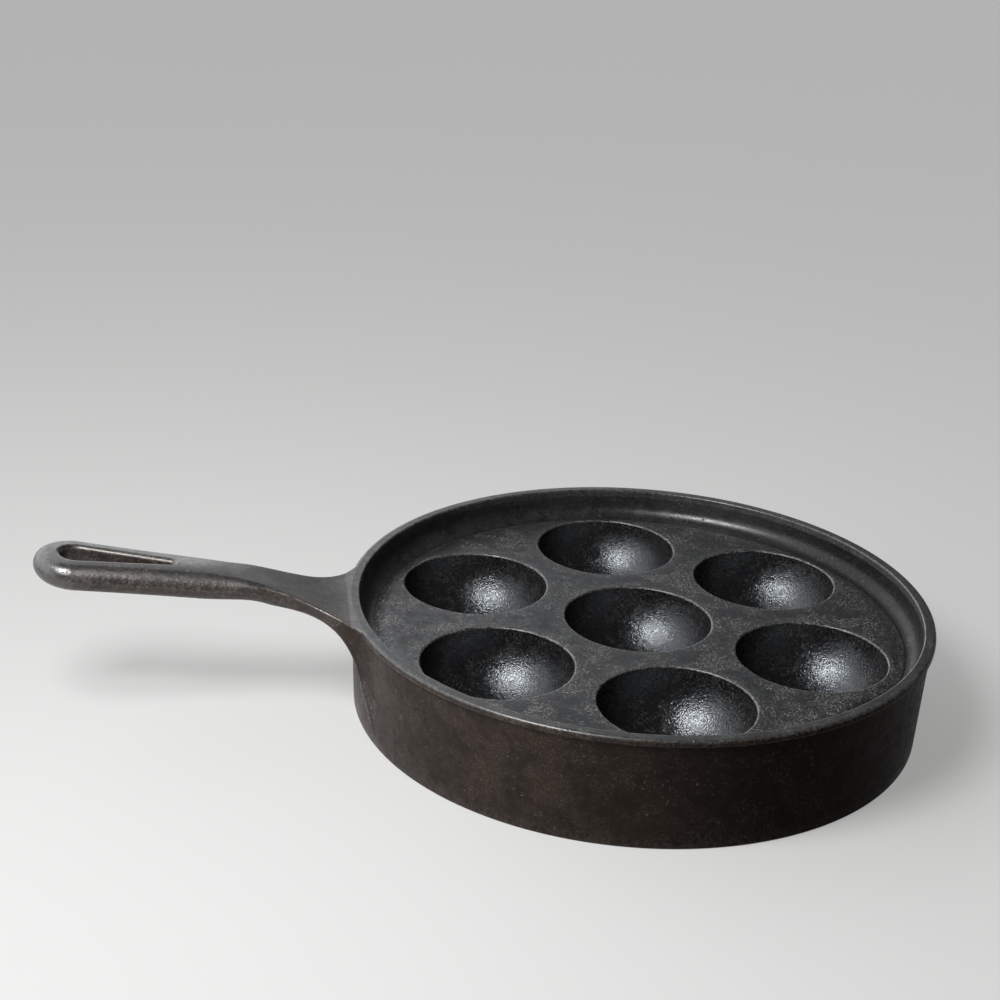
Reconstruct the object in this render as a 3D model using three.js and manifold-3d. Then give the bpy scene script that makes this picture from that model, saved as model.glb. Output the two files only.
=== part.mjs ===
// Cast-iron aebleskiver pan: round wells in a deck, an upright wall with a beaded mouth, and an
// arched handle with a teardrop hanging slot. Millimetres, +Z up. The pan stands on z = 0, the
// handle runs along -X, and the origin is on the table under the middle of the overall length.

import * as THREE from 'three';
import { mergeVertices } from 'three/addons/utils/BufferGeometryUtils.js';
import Module from 'manifold-3d';

const wasm = await Module();
wasm.setup();

// Wells
const wellDiameter = 59.3; // mouth of each well, at the deck
const wellDepth = 28.0;
const bowlThickness = 3.6; // iron round each well
const bowlGap = 5.3; // air between neighbouring bowls under the deck
const bowlLift = 3.6; // lowest point of a bowl above the table
const ringWellCount = 6;
const firstWellAngle = 30; // degrees from +X, so that the handle points between two wells

// Deck, the ledge that carries it and the shallow gutter round its edge
const deckThickness = 4.2;
const wellMargin = 0.35; // flat deck left outside the outer wells
const gutterDepth = 2.0;
const ledgeGap = 0.55; // bowls to ledge
const ledgeWidth = 1.4;
const ledgeThickness = 3.0;
const haunchHeight = 4.5; // slope under the ledge
const seamGap = 0.3; // air at every curved seam between two regions

// Wall
const coveRadius = 6.0; // concave foot of the wall inside the mouth
const coveStartAngle = 5; // degrees from straight down
const mouthDepth = 10.4; // deck to rim
const skirtThickness = 4.2;
const wallLean = 1.55; // how far the wall draws in from bead to table
const footChamfer = 0.6;

// Rim bead
const rimWidth = 4.72;
const beadHeight = 3.0;
const beadOverhang = 1.5; // bead stands proud of the wall outside
const beadRound = 1.35;
const rimInnerRound = 0.7;

// Handle, measured outward from the mouth
const handleLength = 120.2;
const neckOffset = 32.5; // narrowest place of the handle
const neckHalfWidth = 10.0;
const gripHalfWidth = 15.3; // at the round end
const gripThickness = 9.9; // the grip's sides are half rounds of this thickness
const neckThickness = 8.4;
const kneeLength = 42.2; // stretch in which the handle rises off the rim
const kneeRise = 7.0;
const slopeRise = 15.4; // even rise along the whole handle
const gripCrown = 1.2; // rise of the middle of the grip's top over its edges
const gripSwellLength = 26; // stretch in which the neck takes on the grip's thickness and crown

// Handle root
const rootEdgeRadius = 0.8; // edges of the root, against half rounds on the grip
const topSquaringOffset = 18.0; // the top edges begin to sharpen this far outside the neck
const topSquaringLength = 32.0;
const underSquaringOffset = 4.0; // and the edges of the underside here
const underSquaringLength = 26.0;
const rootHeelHeight = 20.0; // underside turns downright here
const rootHeelInset = 2.0; // underside inside the wall, at the heel and at the toe
const rootToeHeight = 8.0;
const rootToeInset = 5.2;
const undersideNeckPull = 10.0; // curve handles of the underside
const undersideNeckDrop = 3.6;
const undersideHeelPull = 5.0;
const undersideHeelLift = 30.5;

// Hanging slot
const slotEndRadius = 6.0;
const slotTipRadius = 1.5;
const slotLength = 42.3;
const slotEndInset = 10.3; // iron between the slot and the end of the handle
const lipWidth = 1.3;
const lipDepth = 1.1;

// Facet counts and modelling allowances
const ringSteps = 64;
const wellSteps = 28;
const wellProfileSteps = 6;
const coveSteps = 5;
const roundSteps = 3;
const cornerSteps = 4;
const gripStations = 9;
const gripEndStations = 4;
const slotEndSteps = 10;
const slotTipSteps = 3;
const undersideSteps = 14;
const overrun = 5.0; // how far a cutter passes what it cuts
const weldDistance = 1e-4;

// Sizes worked out from the driving ones
const wellRadius = wellDiameter / 2;
const bowlRadius = wellRadius + bowlThickness;
const wellCircleRadius = wellDiameter + 2 * bowlThickness + bowlGap;
const ledgeRadius = wellCircleRadius + bowlRadius + ledgeGap;
const deckFlatRadius = wellCircleRadius + wellRadius + wellMargin;
const deckEdgeRadius = ledgeRadius + ledgeWidth;
const coveFootRadius = deckEdgeRadius + seamGap;
const coveStart = THREE.MathUtils.degToRad(coveStartAngle);
const coveCentreRadius = coveFootRadius - coveRadius * Math.sin(coveStart);
const mouthInnerRadius = coveCentreRadius + coveRadius;
const mouthRadius = mouthInnerRadius + rimWidth;
const wallTopRadius = mouthRadius - beadOverhang;

const deckTop = bowlLift + bowlThickness + wellDepth;
const deckUnderside = deckTop - deckThickness;
const gutterFloor = deckTop - gutterDepth;
const coveCentreHeight = gutterFloor + coveRadius * Math.cos(coveStart);
const panHeight = deckTop + mouthDepth;
const beadUnderside = panHeight - beadHeight;

const handleReach = mouthRadius + handleLength;
const neckReach = mouthRadius + neckOffset;
const gripEndCentre = handleReach - gripHalfWidth;
const panOffset = (handleReach - mouthRadius) / 2;

const iron = {
  deck: { color: 0x37383b, roughness: 0.62, metalness: 0.55 },
  well: { color: 0x1b1c20, roughness: 0.45, metalness: 0.6 },
  wall: { color: 0x2a2522, roughness: 0.55, metalness: 0.5 },
  rim: { color: 0x3a3a3c, roughness: 0.5, metalness: 0.6 },
  handle: { color: 0x413d3b, roughness: 0.5, metalness: 0.55 },
};

function wallRadiusAt(height) {
  return wallTopRadius - wallLean * (1 - height / beadUnderside);
}

function smoothStep(share) {
  const t = THREE.MathUtils.clamp(share, 0, 1);
  return t * t * (3 - 2 * t);
}

// Height of the top of the handle at a distance from the pan's axis.
function archHeightAt(reach) {
  const along = Math.max(0, reach - mouthRadius);
  return panHeight + kneeRise * smoothStep(along / kneeLength) + slopeRise * along / handleLength;
}

// Half width of the grip between the neck and the centre of its round end.
function gripHalfWidthAt(reach) {
  const share = (reach - neckReach) / (gripEndCentre - neckReach);
  return neckHalfWidth + (gripHalfWidth - neckHalfWidth) * (share + share * share) / 2;
}

// How far the crown lifts the top of the handle over its edges.
function crownAt(reach, side) {
  const fromMiddle = Math.hypot(side, Math.max(0, reach - gripEndCentre));
  const share = Math.min(1, fromMiddle / gripHalfWidthAt(Math.min(reach, gripEndCentre)));
  return gripCrown * smoothStep((reach - neckReach) / gripSwellLength) * (1 - share * share);
}

// Radius of the long edges, where half rounds of the grip turn into the edges of the root.
function edgeRadiusAt(reach, halfThickness, up) {
  const squaring = up > 0
    ? smoothStep((neckReach + topSquaringOffset - reach) / topSquaringLength)
    : smoothStep((neckReach + underSquaringOffset - reach) / underSquaringLength);
  const rounded = reach < neckReach ? neckThickness / 2 : halfThickness;
  return rounded + (rootEdgeRadius - rounded) * squaring;
}

// Points of a circular arc in the profile plane, from one angle to another, both ends included.
function arcPoints(centreX, centreY, radius, fromAngle, toAngle, steps) {
  const points = [];
  for (let i = 0; i <= steps; i += 1) {
    const angle = fromAngle + (toAngle - fromAngle) * i / steps;
    points.push(new THREE.Vector2(centreX + radius * Math.cos(angle), centreY + radius * Math.sin(angle)));
  }
  return points;
}

// Half profile of a well or of its bowl, from the bottom on the axis up to a height.
function bowlProfile(radius, depth, topHeight) {
  const topAngle = Math.asin((deckTop - topHeight) / depth);
  const points = [];
  for (let i = 0; i <= wellProfileSteps; i += 1) {
    const angle = Math.PI / 2 + (topAngle - Math.PI / 2) * i / wellProfileSteps;
    const x = i === 0 ? 0 : radius * Math.cos(angle);
    points.push(new THREE.Vector2(x, deckTop - depth * Math.sin(angle)));
  }
  return points;
}

function revolve(points, steps) {
  return new THREE.LatheGeometry(points, steps).rotateX(Math.PI / 2);
}

function revolveClosed(points, steps) {
  return revolve([...points, points[0].clone()], steps);
}

function toSolid(geometry) {
  const bare = geometry.clone();
  bare.deleteAttribute('normal');
  bare.deleteAttribute('uv');
  const welded = mergeVertices(bare, weldDistance);
  const corners = Array.from(welded.index.array);
  const kept = [];
  for (let i = 0; i < corners.length; i += 3) {
    const [a, b, c] = corners.slice(i, i + 3);
    if (a !== b && b !== c && c !== a) kept.push(a, b, c);
  }
  return new wasm.Manifold(new wasm.Mesh({
    numProp: 3,
    vertProperties: new Float32Array(welded.attributes.position.array),
    triVerts: new Uint32Array(kept),
  }));
}

function toGeometry(solid) {
  const mesh = solid.getMesh();
  const geometry = new THREE.BufferGeometry();
  geometry.setAttribute('position', new THREE.BufferAttribute(mesh.vertProperties, 3));
  geometry.setIndex(new THREE.BufferAttribute(mesh.triVerts, 1));
  return geometry;
}

// A closed skin over a row of rings that have the same number of points, with a fan at each end.
function loft(rings) {
  const positions = [];
  const indices = [];
  const count = rings[0].length;
  rings.forEach((ring) => ring.forEach((p) => positions.push(p.x, p.y, p.z)));
  for (let r = 0; r < rings.length - 1; r += 1) {
    for (let i = 0; i < count; i += 1) {
      const a = r * count + i;
      const b = r * count + (i + 1) % count;
      indices.push(a, b, a + count, b, b + count, a + count);
    }
  }
  const addCap = (ring, first, flip) => {
    const middle = ring.reduce((sum, p) => sum.add(p), new THREE.Vector3()).divideScalar(count);
    positions.push(middle.x, middle.y, middle.z);
    const centre = positions.length / 3 - 1;
    for (let i = 0; i < count; i += 1) {
      const a = first + i;
      const b = first + (i + 1) % count;
      indices.push(...(flip ? [centre, b, a] : [centre, a, b]));
    }
  };
  addCap(rings[0], 0, true);
  addCap(rings[rings.length - 1], (rings.length - 1) * count, false);
  const geometry = new THREE.BufferGeometry();
  geometry.setAttribute('position', new THREE.Float32BufferAttribute(positions, 3));
  geometry.setIndex(indices);
  return geometry;
}

function ironMesh(name, geometry, finish) {
  const shaded = geometry.attributes.normal ? geometry : geometry.clone();
  if (!shaded.attributes.normal) shaded.computeVertexNormals();
  const mesh = new THREE.Mesh(shaded, new THREE.MeshStandardMaterial(finish));
  mesh.name = name;
  return mesh;
}

function skirtRing() {
  const haunchTop = deckUnderside - ledgeThickness;
  const haunchFoot = haunchTop - haunchHeight;
  const innerAt = (height) => wallRadiusAt(height) - skirtThickness;
  const profile = [
    new THREE.Vector2(innerAt(0) + footChamfer, 0),
    new THREE.Vector2(wallRadiusAt(0) - footChamfer, 0),
    new THREE.Vector2(wallRadiusAt(footChamfer), footChamfer),
    new THREE.Vector2(wallRadiusAt(deckUnderside), deckUnderside),
    new THREE.Vector2(ledgeRadius, deckUnderside),
    new THREE.Vector2(ledgeRadius, haunchTop),
    new THREE.Vector2(innerAt(haunchFoot), haunchFoot),
    new THREE.Vector2(innerAt(footChamfer), footChamfer),
  ];
  return ironMesh('skirt_ring', revolveClosed(profile, ringSteps), iron.wall);
}

function trayWall() {
  const foot = coveStart - Math.PI / 2;
  const cove = arcPoints(coveCentreRadius, coveCentreHeight, coveRadius, 0, foot, coveSteps);
  const profile = [
    new THREE.Vector2(coveFootRadius, deckUnderside),
    new THREE.Vector2(wallRadiusAt(deckUnderside), deckUnderside),
    new THREE.Vector2(wallTopRadius, beadUnderside),
    new THREE.Vector2(mouthInnerRadius, beadUnderside),
    ...cove,
  ];
  return ironMesh('tray_wall', revolveClosed(profile, ringSteps), iron.wall);
}

function rimBead() {
  const outer = mouthRadius - beadRound;
  const inner = mouthInnerRadius + rimInnerRound;
  const profile = [
    new THREE.Vector2(mouthInnerRadius, beadUnderside),
    ...arcPoints(outer, beadUnderside + beadRound, beadRound, -Math.PI / 2, 0, roundSteps),
    ...arcPoints(outer, panHeight - beadRound, beadRound, 0, Math.PI / 2, roundSteps),
    ...arcPoints(inner, panHeight - rimInnerRound, rimInnerRound, Math.PI / 2, Math.PI, roundSteps),
  ];
  return ironMesh('rim_bead', revolveClosed(profile, ringSteps), iron.rim);
}

function wellPlaces() {
  const places = [{ name: 'cup_centre', x: 0, y: 0 }];
  for (let i = 0; i < ringWellCount; i += 1) {
    const angle = THREE.MathUtils.degToRad(firstWellAngle + 360 * i / ringWellCount);
    places.push({
      name: `cup_${i + 1}`,
      x: wellCircleRadius * Math.cos(angle),
      y: wellCircleRadius * Math.sin(angle),
    });
  }
  return places;
}

function deckPlate() {
  const blank = revolve([
    new THREE.Vector2(0, deckUnderside),
    new THREE.Vector2(deckEdgeRadius, deckUnderside),
    new THREE.Vector2(deckEdgeRadius, gutterFloor),
    new THREE.Vector2(deckFlatRadius, deckTop),
    new THREE.Vector2(0, deckTop),
  ], ringSteps);
  const throat = bowlProfile(wellRadius, wellDepth, deckUnderside)[wellProfileSteps];
  const cutter = revolve([
    new THREE.Vector2(0, deckUnderside - overrun),
    new THREE.Vector2(throat.x, deckUnderside - overrun),
    throat,
    new THREE.Vector2(wellRadius, deckTop),
    new THREE.Vector2(wellRadius, deckTop + overrun),
    new THREE.Vector2(0, deckTop + overrun),
  ], wellSteps);
  let plate = toSolid(blank);
  wellPlaces().forEach((place) => {
    plate = plate.subtract(toSolid(cutter.clone().translate(place.x, place.y, 0)));
  });
  return ironMesh('deck_plate', toGeometry(plate), iron.deck);
}

function cups() {
  const outside = bowlProfile(bowlRadius, wellDepth + bowlThickness, deckUnderside);
  const inside = bowlProfile(wellRadius, wellDepth, deckUnderside).reverse();
  const geometry = revolve([...outside, ...inside], wellSteps);
  return wellPlaces().map((place) => {
    const cup = ironMesh(place.name, geometry, iron.well);
    cup.position.set(place.x, place.y, 0);
    return cup;
  });
}

// Half width of the root at a height. Each flank is an arc that touches the neck and runs out on
// the wall, and below the bead it leans inward as the wall does.
function rootHalfWidthAt(reach, height) {
  const flankRadius = (neckReach ** 2 + neckHalfWidth ** 2 - wallTopRadius ** 2)
    / (2 * (wallTopRadius - neckHalfWidth));
  const leaned = flankRadius + wallTopRadius - wallRadiusAt(Math.min(height, beadUnderside));
  return neckHalfWidth + flankRadius - Math.sqrt(leaned ** 2 - (neckReach - reach) ** 2);
}

// Underside of the root seen from the side, from its toe on the wall up and out to the neck.
function undersidePoints() {
  const neckFloor = archHeightAt(neckReach) - neckThickness;
  const toe = new THREE.Vector2(wallRadiusAt(rootToeHeight) - rootToeInset, rootToeHeight);
  const heel = new THREE.Vector2(wallRadiusAt(rootHeelHeight) - rootHeelInset, rootHeelHeight);
  const curve = new THREE.CubicBezierCurve(
    heel,
    new THREE.Vector2(heel.x + undersideHeelPull, heel.y + undersideHeelLift),
    new THREE.Vector2(neckReach - undersideNeckPull, neckFloor - undersideNeckDrop),
    new THREE.Vector2(neckReach, neckFloor),
  );
  return [toe, ...curve.getPoints(undersideSteps)];
}

function panClearance() {
  const top = archHeightAt(neckReach) + overrun;
  return revolve([
    new THREE.Vector2(0, -overrun),
    new THREE.Vector2(wallRadiusAt(-overrun) + seamGap, -overrun),
    new THREE.Vector2(wallTopRadius + seamGap, beadUnderside - seamGap),
    new THREE.Vector2(mouthRadius + seamGap, beadUnderside - seamGap),
    new THREE.Vector2(mouthRadius + seamGap, top),
    new THREE.Vector2(0, top),
  ], ringSteps);
}

function handleRoot() {
  const rings = undersidePoints().map((point) => {
    const top = archHeightAt(point.x);
    const halfWidth = (height) => rootHalfWidthAt(point.x, height);
    return sectionRing(point.x, (top + point.y) / 2, halfWidth, (top - point.y) / 2, 0);
  });
  const root = toSolid(loft(rings)).subtract(toSolid(panClearance()));
  return ironMesh('handle_root', toGeometry(root), iron.handle);
}

// Outline of the handle across its length, with round edges and a crowned top. Where it lies
// beyond the centre of the round end, it narrows as the end's plan does.
function sectionRing(reach, middleHeight, halfWidthAt, halfThickness, beyond) {
  const ring = [];
  [[1, 1], [-1, 1], [-1, -1], [1, -1]].forEach(([side, up], corner) => {
    const edge = edgeRadiusAt(reach, halfThickness, up);
    const across = halfWidthAt(middleHeight + up * halfThickness) - edge;
    const steepest = Math.acos(THREE.MathUtils.clamp((beyond - across) / edge, 0, 1));
    const addPoint = (out, angle) => {
      const lift = up > 0 ? crownAt(reach, out) : 0;
      const height = middleHeight + up * (halfThickness - edge + edge * Math.sin(angle)) + lift;
      ring.push(new THREE.Vector3(-reach, -side * out, height));
    };
    for (let i = 0; i <= cornerSteps; i += 1) {
      const angle = steepest * (side === up ? i : cornerSteps - i) / cornerSteps;
      addPoint(Math.sqrt(Math.max(0, (across + edge * Math.cos(angle)) ** 2 - beyond ** 2)), angle);
    }
    if (corner === 0) addPoint(0, steepest);
  });
  return ring;
}

function gripRings() {
  const rings = [];
  const addRing = (reach, beyond) => {
    const swelling = smoothStep((reach - neckReach) / gripSwellLength);
    const half = (neckThickness + (gripThickness - neckThickness) * swelling) / 2;
    const halfWidth = gripHalfWidthAt(reach - beyond);
    rings.push(sectionRing(reach, archHeightAt(reach) - half, () => halfWidth, half, beyond));
  };
  for (let i = 0; i < gripStations; i += 1) {
    addRing(neckReach + (gripEndCentre - neckReach) * i / gripStations, 0);
  }
  for (let i = 0; i <= gripEndStations; i += 1) {
    const beyond = gripHalfWidth * Math.sin(Math.PI / 2 * i / gripEndStations);
    addRing(gripEndCentre + beyond, beyond);
  }
  return rings;
}

// Teardrop outline of the slot, grown by a margin, at a depth under the top of the handle.
function slotRing(grow, rise) {
  const endCentre = handleReach - slotEndInset - slotEndRadius;
  const tipCentre = handleReach - slotEndInset - slotLength + slotTipRadius;
  const lean = Math.asin((slotEndRadius - slotTipRadius) / (endCentre - tipCentre));
  const side = Math.PI / 2 - lean;
  const outline = [
    ...arcPoints(-endCentre, 0, slotEndRadius + grow, side, 2 * Math.PI - side, slotEndSteps),
    ...arcPoints(-tipCentre, 0, slotTipRadius + grow, -side, side, slotTipSteps),
  ];
  return outline.map((p) => {
    const top = archHeightAt(-p.x) + crownAt(-p.x, p.y);
    return new THREE.Vector3(p.x, p.y, top + rise);
  });
}

function handleGrip() {
  const lipRise = (overrun / lipDepth) * lipWidth;
  const slot = loft([
    slotRing(0, -gripThickness - overrun),
    slotRing(0, -lipDepth),
    slotRing(lipWidth, 0),
    slotRing(lipWidth + lipRise, overrun),
  ]);
  const bar = toSolid(loft(gripRings()));
  return ironMesh('handle_grip', toGeometry(bar.subtract(toSolid(slot))), iron.handle);
}

const pan = new THREE.Group();
pan.position.x = panOffset;
pan.add(skirtRing(), trayWall(), rimBead(), deckPlate(), ...cups(), handleRoot(), handleGrip());

const model = new THREE.Group();
model.add(pan);

export default model;
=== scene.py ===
"""Looks of a seasoned cast-iron aebleskiver pan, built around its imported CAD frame.

Shapes are worked out in pan space: millimetres, with the pan's round axis as z and the
table at z = 0. Everything is handed to Blender in metres, in the frame of the CAD row.
"""

import logging
import math
from dataclasses import dataclass
from enum import Enum

import bpy
import numpy as np
from mathutils import Matrix, Vector
from mathutils.geometry import delaunay_2d_cdt

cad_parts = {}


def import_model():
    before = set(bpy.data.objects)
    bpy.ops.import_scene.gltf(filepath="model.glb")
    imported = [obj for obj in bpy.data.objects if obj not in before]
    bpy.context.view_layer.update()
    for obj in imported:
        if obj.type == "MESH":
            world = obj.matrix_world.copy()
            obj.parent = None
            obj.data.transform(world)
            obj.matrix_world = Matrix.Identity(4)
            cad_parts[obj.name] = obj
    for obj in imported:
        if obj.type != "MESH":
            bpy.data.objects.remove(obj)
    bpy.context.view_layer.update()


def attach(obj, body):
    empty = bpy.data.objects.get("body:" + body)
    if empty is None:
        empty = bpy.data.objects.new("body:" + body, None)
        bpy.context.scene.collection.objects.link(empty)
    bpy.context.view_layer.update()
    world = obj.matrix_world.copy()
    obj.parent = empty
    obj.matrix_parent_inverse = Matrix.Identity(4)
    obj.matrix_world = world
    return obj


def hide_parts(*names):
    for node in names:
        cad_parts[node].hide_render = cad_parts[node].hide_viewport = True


log = logging.getLogger("pan")

MM = 0.001
TINY = 1e-9
WELD_DECIMALS = 5  # points that agree to this many decimals are one point
NO_CORNER = -1  # fourth corner of a face that is a triangle
HANDLE_LENGTH = 120.2  # beyond the rim, mm
PAN_AXIS_X = HANDLE_LENGTH / 2.0  # pan axis in the row frame, mm

Colour = tuple[float, float, float]
Range = tuple[float, float]
Marks = dict[str, np.ndarray]
Socket = bpy.types.NodeSocket


class Slot(Enum):
    """Material slots that the record names."""

    WALL = "wall_iron"
    RIM = "rim_iron"
    DECK = "deck_iron"
    WELL = "well_iron"
    HANDLE = "handle_iron"


class Region(Enum):
    """Regions of the casting: piece name, CAD node it stands for, material slot."""

    SKIRT = ("skirt_casting", "skirt_ring", Slot.WALL)
    TRAY_WALL = ("tray_wall_casting", "tray_wall", Slot.WALL)
    RIM = ("rim_casting", "rim_bead", Slot.RIM)
    DECK = ("deck_casting", "deck_plate", Slot.DECK)
    WELL_CENTRE = ("well_centre_casting", "cup_centre", Slot.WELL)
    WELL_1 = ("well_1_casting", "cup_1", Slot.WELL)
    WELL_2 = ("well_2_casting", "cup_2", Slot.WELL)
    WELL_3 = ("well_3_casting", "cup_3", Slot.WELL)
    WELL_4 = ("well_4_casting", "cup_4", Slot.WELL)
    WELL_5 = ("well_5_casting", "cup_5", Slot.WELL)
    WELL_6 = ("well_6_casting", "cup_6", Slot.WELL)
    ROOT = ("handle_root_casting", "handle_root", Slot.HANDLE)
    GRIP = ("handle_grip_casting", "handle_grip", Slot.HANDLE)


WELL_REGIONS = [region for region in Region if region.value[2] is Slot.WELL]


def smoothstep(share: np.ndarray) -> np.ndarray:
    """Smooth ramp from 0 to 1 over a share from 0 to 1."""
    t = np.clip(share, 0.0, 1.0)
    return t * t * (3.0 - 2.0 * t)


def hump(distance: np.ndarray) -> np.ndarray:
    """Bell curve that is 1 at distance 0 and fades out past distance 1."""
    return np.exp(-(distance**2))


def soft_min(a: np.ndarray, b: np.ndarray, blend: np.ndarray | float) -> np.ndarray:
    """Smaller of two distances, with a fillet of about the blend length between them."""
    h = np.maximum(blend - np.abs(a - b), 0.0) / blend
    return np.minimum(a, b) - h * h * blend / 4.0


def soft_max(a: np.ndarray, b: np.ndarray, blend: float) -> np.ndarray:
    """Larger of two distances, with a rounding of about the blend length between them."""
    return -soft_min(-a, -b, blend)


def ring(centre: tuple[float, float], radius: float, count: int) -> np.ndarray:
    """Points of a circle in the plan, counter-clockwise."""
    angle = 2.0 * math.pi * np.arange(count) / count
    return np.stack([centre[0] + radius * np.cos(angle), centre[1] + radius * np.sin(angle)], -1)


def raised(plan: np.ndarray, height: np.ndarray | float) -> np.ndarray:
    """Points of a plan in space, at one height or each at its own."""
    return np.concatenate([plan, np.broadcast_to(height, len(plan))[:, None]], axis=1)


def unit(vectors: np.ndarray) -> np.ndarray:
    """Vectors scaled to length 1."""
    return vectors / np.maximum(np.linalg.norm(vectors, axis=1, keepdims=True), TINY)


def from_axis(points: np.ndarray) -> np.ndarray:
    """Distance of points from the pan's axis, in the plan."""
    return np.hypot(points[:, 0], points[:, 1])


def renumbering(used: np.ndarray, count: int) -> np.ndarray:
    """Works out new numbers for points of which only some are kept.

    Args:
        used: Indices of the kept points.
        count: How many points there were.

    Returns:
        The new index of each old point, NO_CORNER for those that are dropped.
    """
    number = np.full(count, NO_CORNER)
    number[used] = np.arange(len(used))
    return number


def add_object(name: str, data: bpy.types.ID) -> bpy.types.Object:
    """Puts a mesh, camera or light into the scene.

    Args:
        name: Name of the object.
        data: What the object shows.

    Returns:
        The new object.
    """
    made = bpy.data.objects.new(name, data)
    bpy.context.scene.collection.objects.link(made)
    return made


@dataclass(frozen=True)
class PanSizes:
    """Sizes of the round body of the pan, in millimetres."""

    well_radius: float = 29.65
    well_depth: float = 28.0
    bowl_thickness: float = 3.6
    bowl_gap: float = 5.3  # air between neighbouring bowls
    bowl_lift: float = 3.6  # lowest point of a bowl above the table
    ring_wells: int = 6
    first_well_angle: float = 30.0  # degrees from +X
    deck_thickness: float = 4.2
    well_margin: float = 0.35  # flat deck outside the outer wells
    gutter_depth: float = 2.0
    ledge_gap: float = 0.55  # bowls to ledge
    ledge_width: float = 1.4
    ledge_thickness: float = 3.0
    haunch_height: float = 4.5  # slope under the ledge
    seam_gap: float = 0.3  # air in the CAD between the deck and the wall
    cove_radius: float = 6.0
    cove_start: float = 5.0  # degrees from straight down
    mouth_depth: float = 10.4  # deck to rim
    rim_width: float = 4.72
    rim_inner_round: float = 0.7
    bead_height: float = 3.0
    bead_overhang: float = 1.5  # bead stands proud of the wall
    bead_round: float = 1.35
    wall_lean: float = 1.55  # how far the wall draws in from bead to table
    skirt_thickness: float = 4.2
    foot_round: float = 0.6
    lip_round: float = 0.75  # edge of a well's mouth
    edge_round: float = 1.1  # edge between the deck and the gutter
    bowl_fillet: float = 2.0  # between a bowl and the deck's underside

    @property
    def well_circle(self) -> float:
        """Radius of the circle on which the outer wells stand."""
        return 2.0 * (self.well_radius + self.bowl_thickness) + self.bowl_gap

    @property
    def deck_flat_radius(self) -> float:
        """Radius at which the flat of the deck ends and the gutter begins."""
        return self.well_circle + self.well_radius + self.well_margin

    @property
    def ledge_radius(self) -> float:
        """Inner radius of the ledge under the deck's edge."""
        return self.well_circle + self.well_radius + self.bowl_thickness + self.ledge_gap

    @property
    def deck_edge_radius(self) -> float:
        """Outer radius of the deck plate."""
        return self.ledge_radius + self.ledge_width

    @property
    def cove_foot_radius(self) -> float:
        """Radius at which the cove rises from the gutter."""
        return self.deck_edge_radius + self.seam_gap

    @property
    def mouth_inner_radius(self) -> float:
        """Inner radius of the mouth, where the cove has turned upright."""
        return self.cove_foot_radius + self.cove_radius * (1.0 - math.sin(math.radians(self.cove_start)))

    @property
    def mouth_radius(self) -> float:
        """Outer radius of the rim bead."""
        return self.mouth_inner_radius + self.rim_width

    @property
    def wall_top_radius(self) -> float:
        """Outer radius of the wall just under the bead."""
        return self.mouth_radius - self.bead_overhang

    @property
    def deck_top(self) -> float:
        """Height of the deck."""
        return self.bowl_lift + self.bowl_thickness + self.well_depth

    @property
    def deck_underside(self) -> float:
        """Height of the deck's lower side."""
        return self.deck_top - self.deck_thickness

    @property
    def gutter_floor(self) -> float:
        """Height of the bottom of the gutter."""
        return self.deck_top - self.gutter_depth

    @property
    def pan_height(self) -> float:
        """Height of the rim."""
        return self.deck_top + self.mouth_depth

    @property
    def bead_underside(self) -> float:
        """Height of the lower side of the rim bead."""
        return self.pan_height - self.bead_height

    def wall_radius_at(self, height: np.ndarray | float) -> np.ndarray | float:
        """Outer radius of the wall at a height."""
        return self.wall_top_radius - self.wall_lean * (1.0 - height / self.bead_underside)

    def well_centres(self) -> list[tuple[float, float]]:
        """Places the seven wells.

        Returns:
            The wells' axes in the plan, the middle one first.
        """
        places = [(0.0, 0.0)]
        for i in range(self.ring_wells):
            angle = math.radians(self.first_well_angle + 360.0 / self.ring_wells * i)
            places.append((self.well_circle * math.cos(angle), self.well_circle * math.sin(angle)))
        return places

    def well_distance(self, plan: np.ndarray) -> np.ndarray:
        """Distance from points of the plan to the nearest well's axis."""
        return np.min([np.hypot(plan[:, 0] - x, plan[:, 1] - y) for x, y in self.well_centres()], axis=0)


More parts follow.
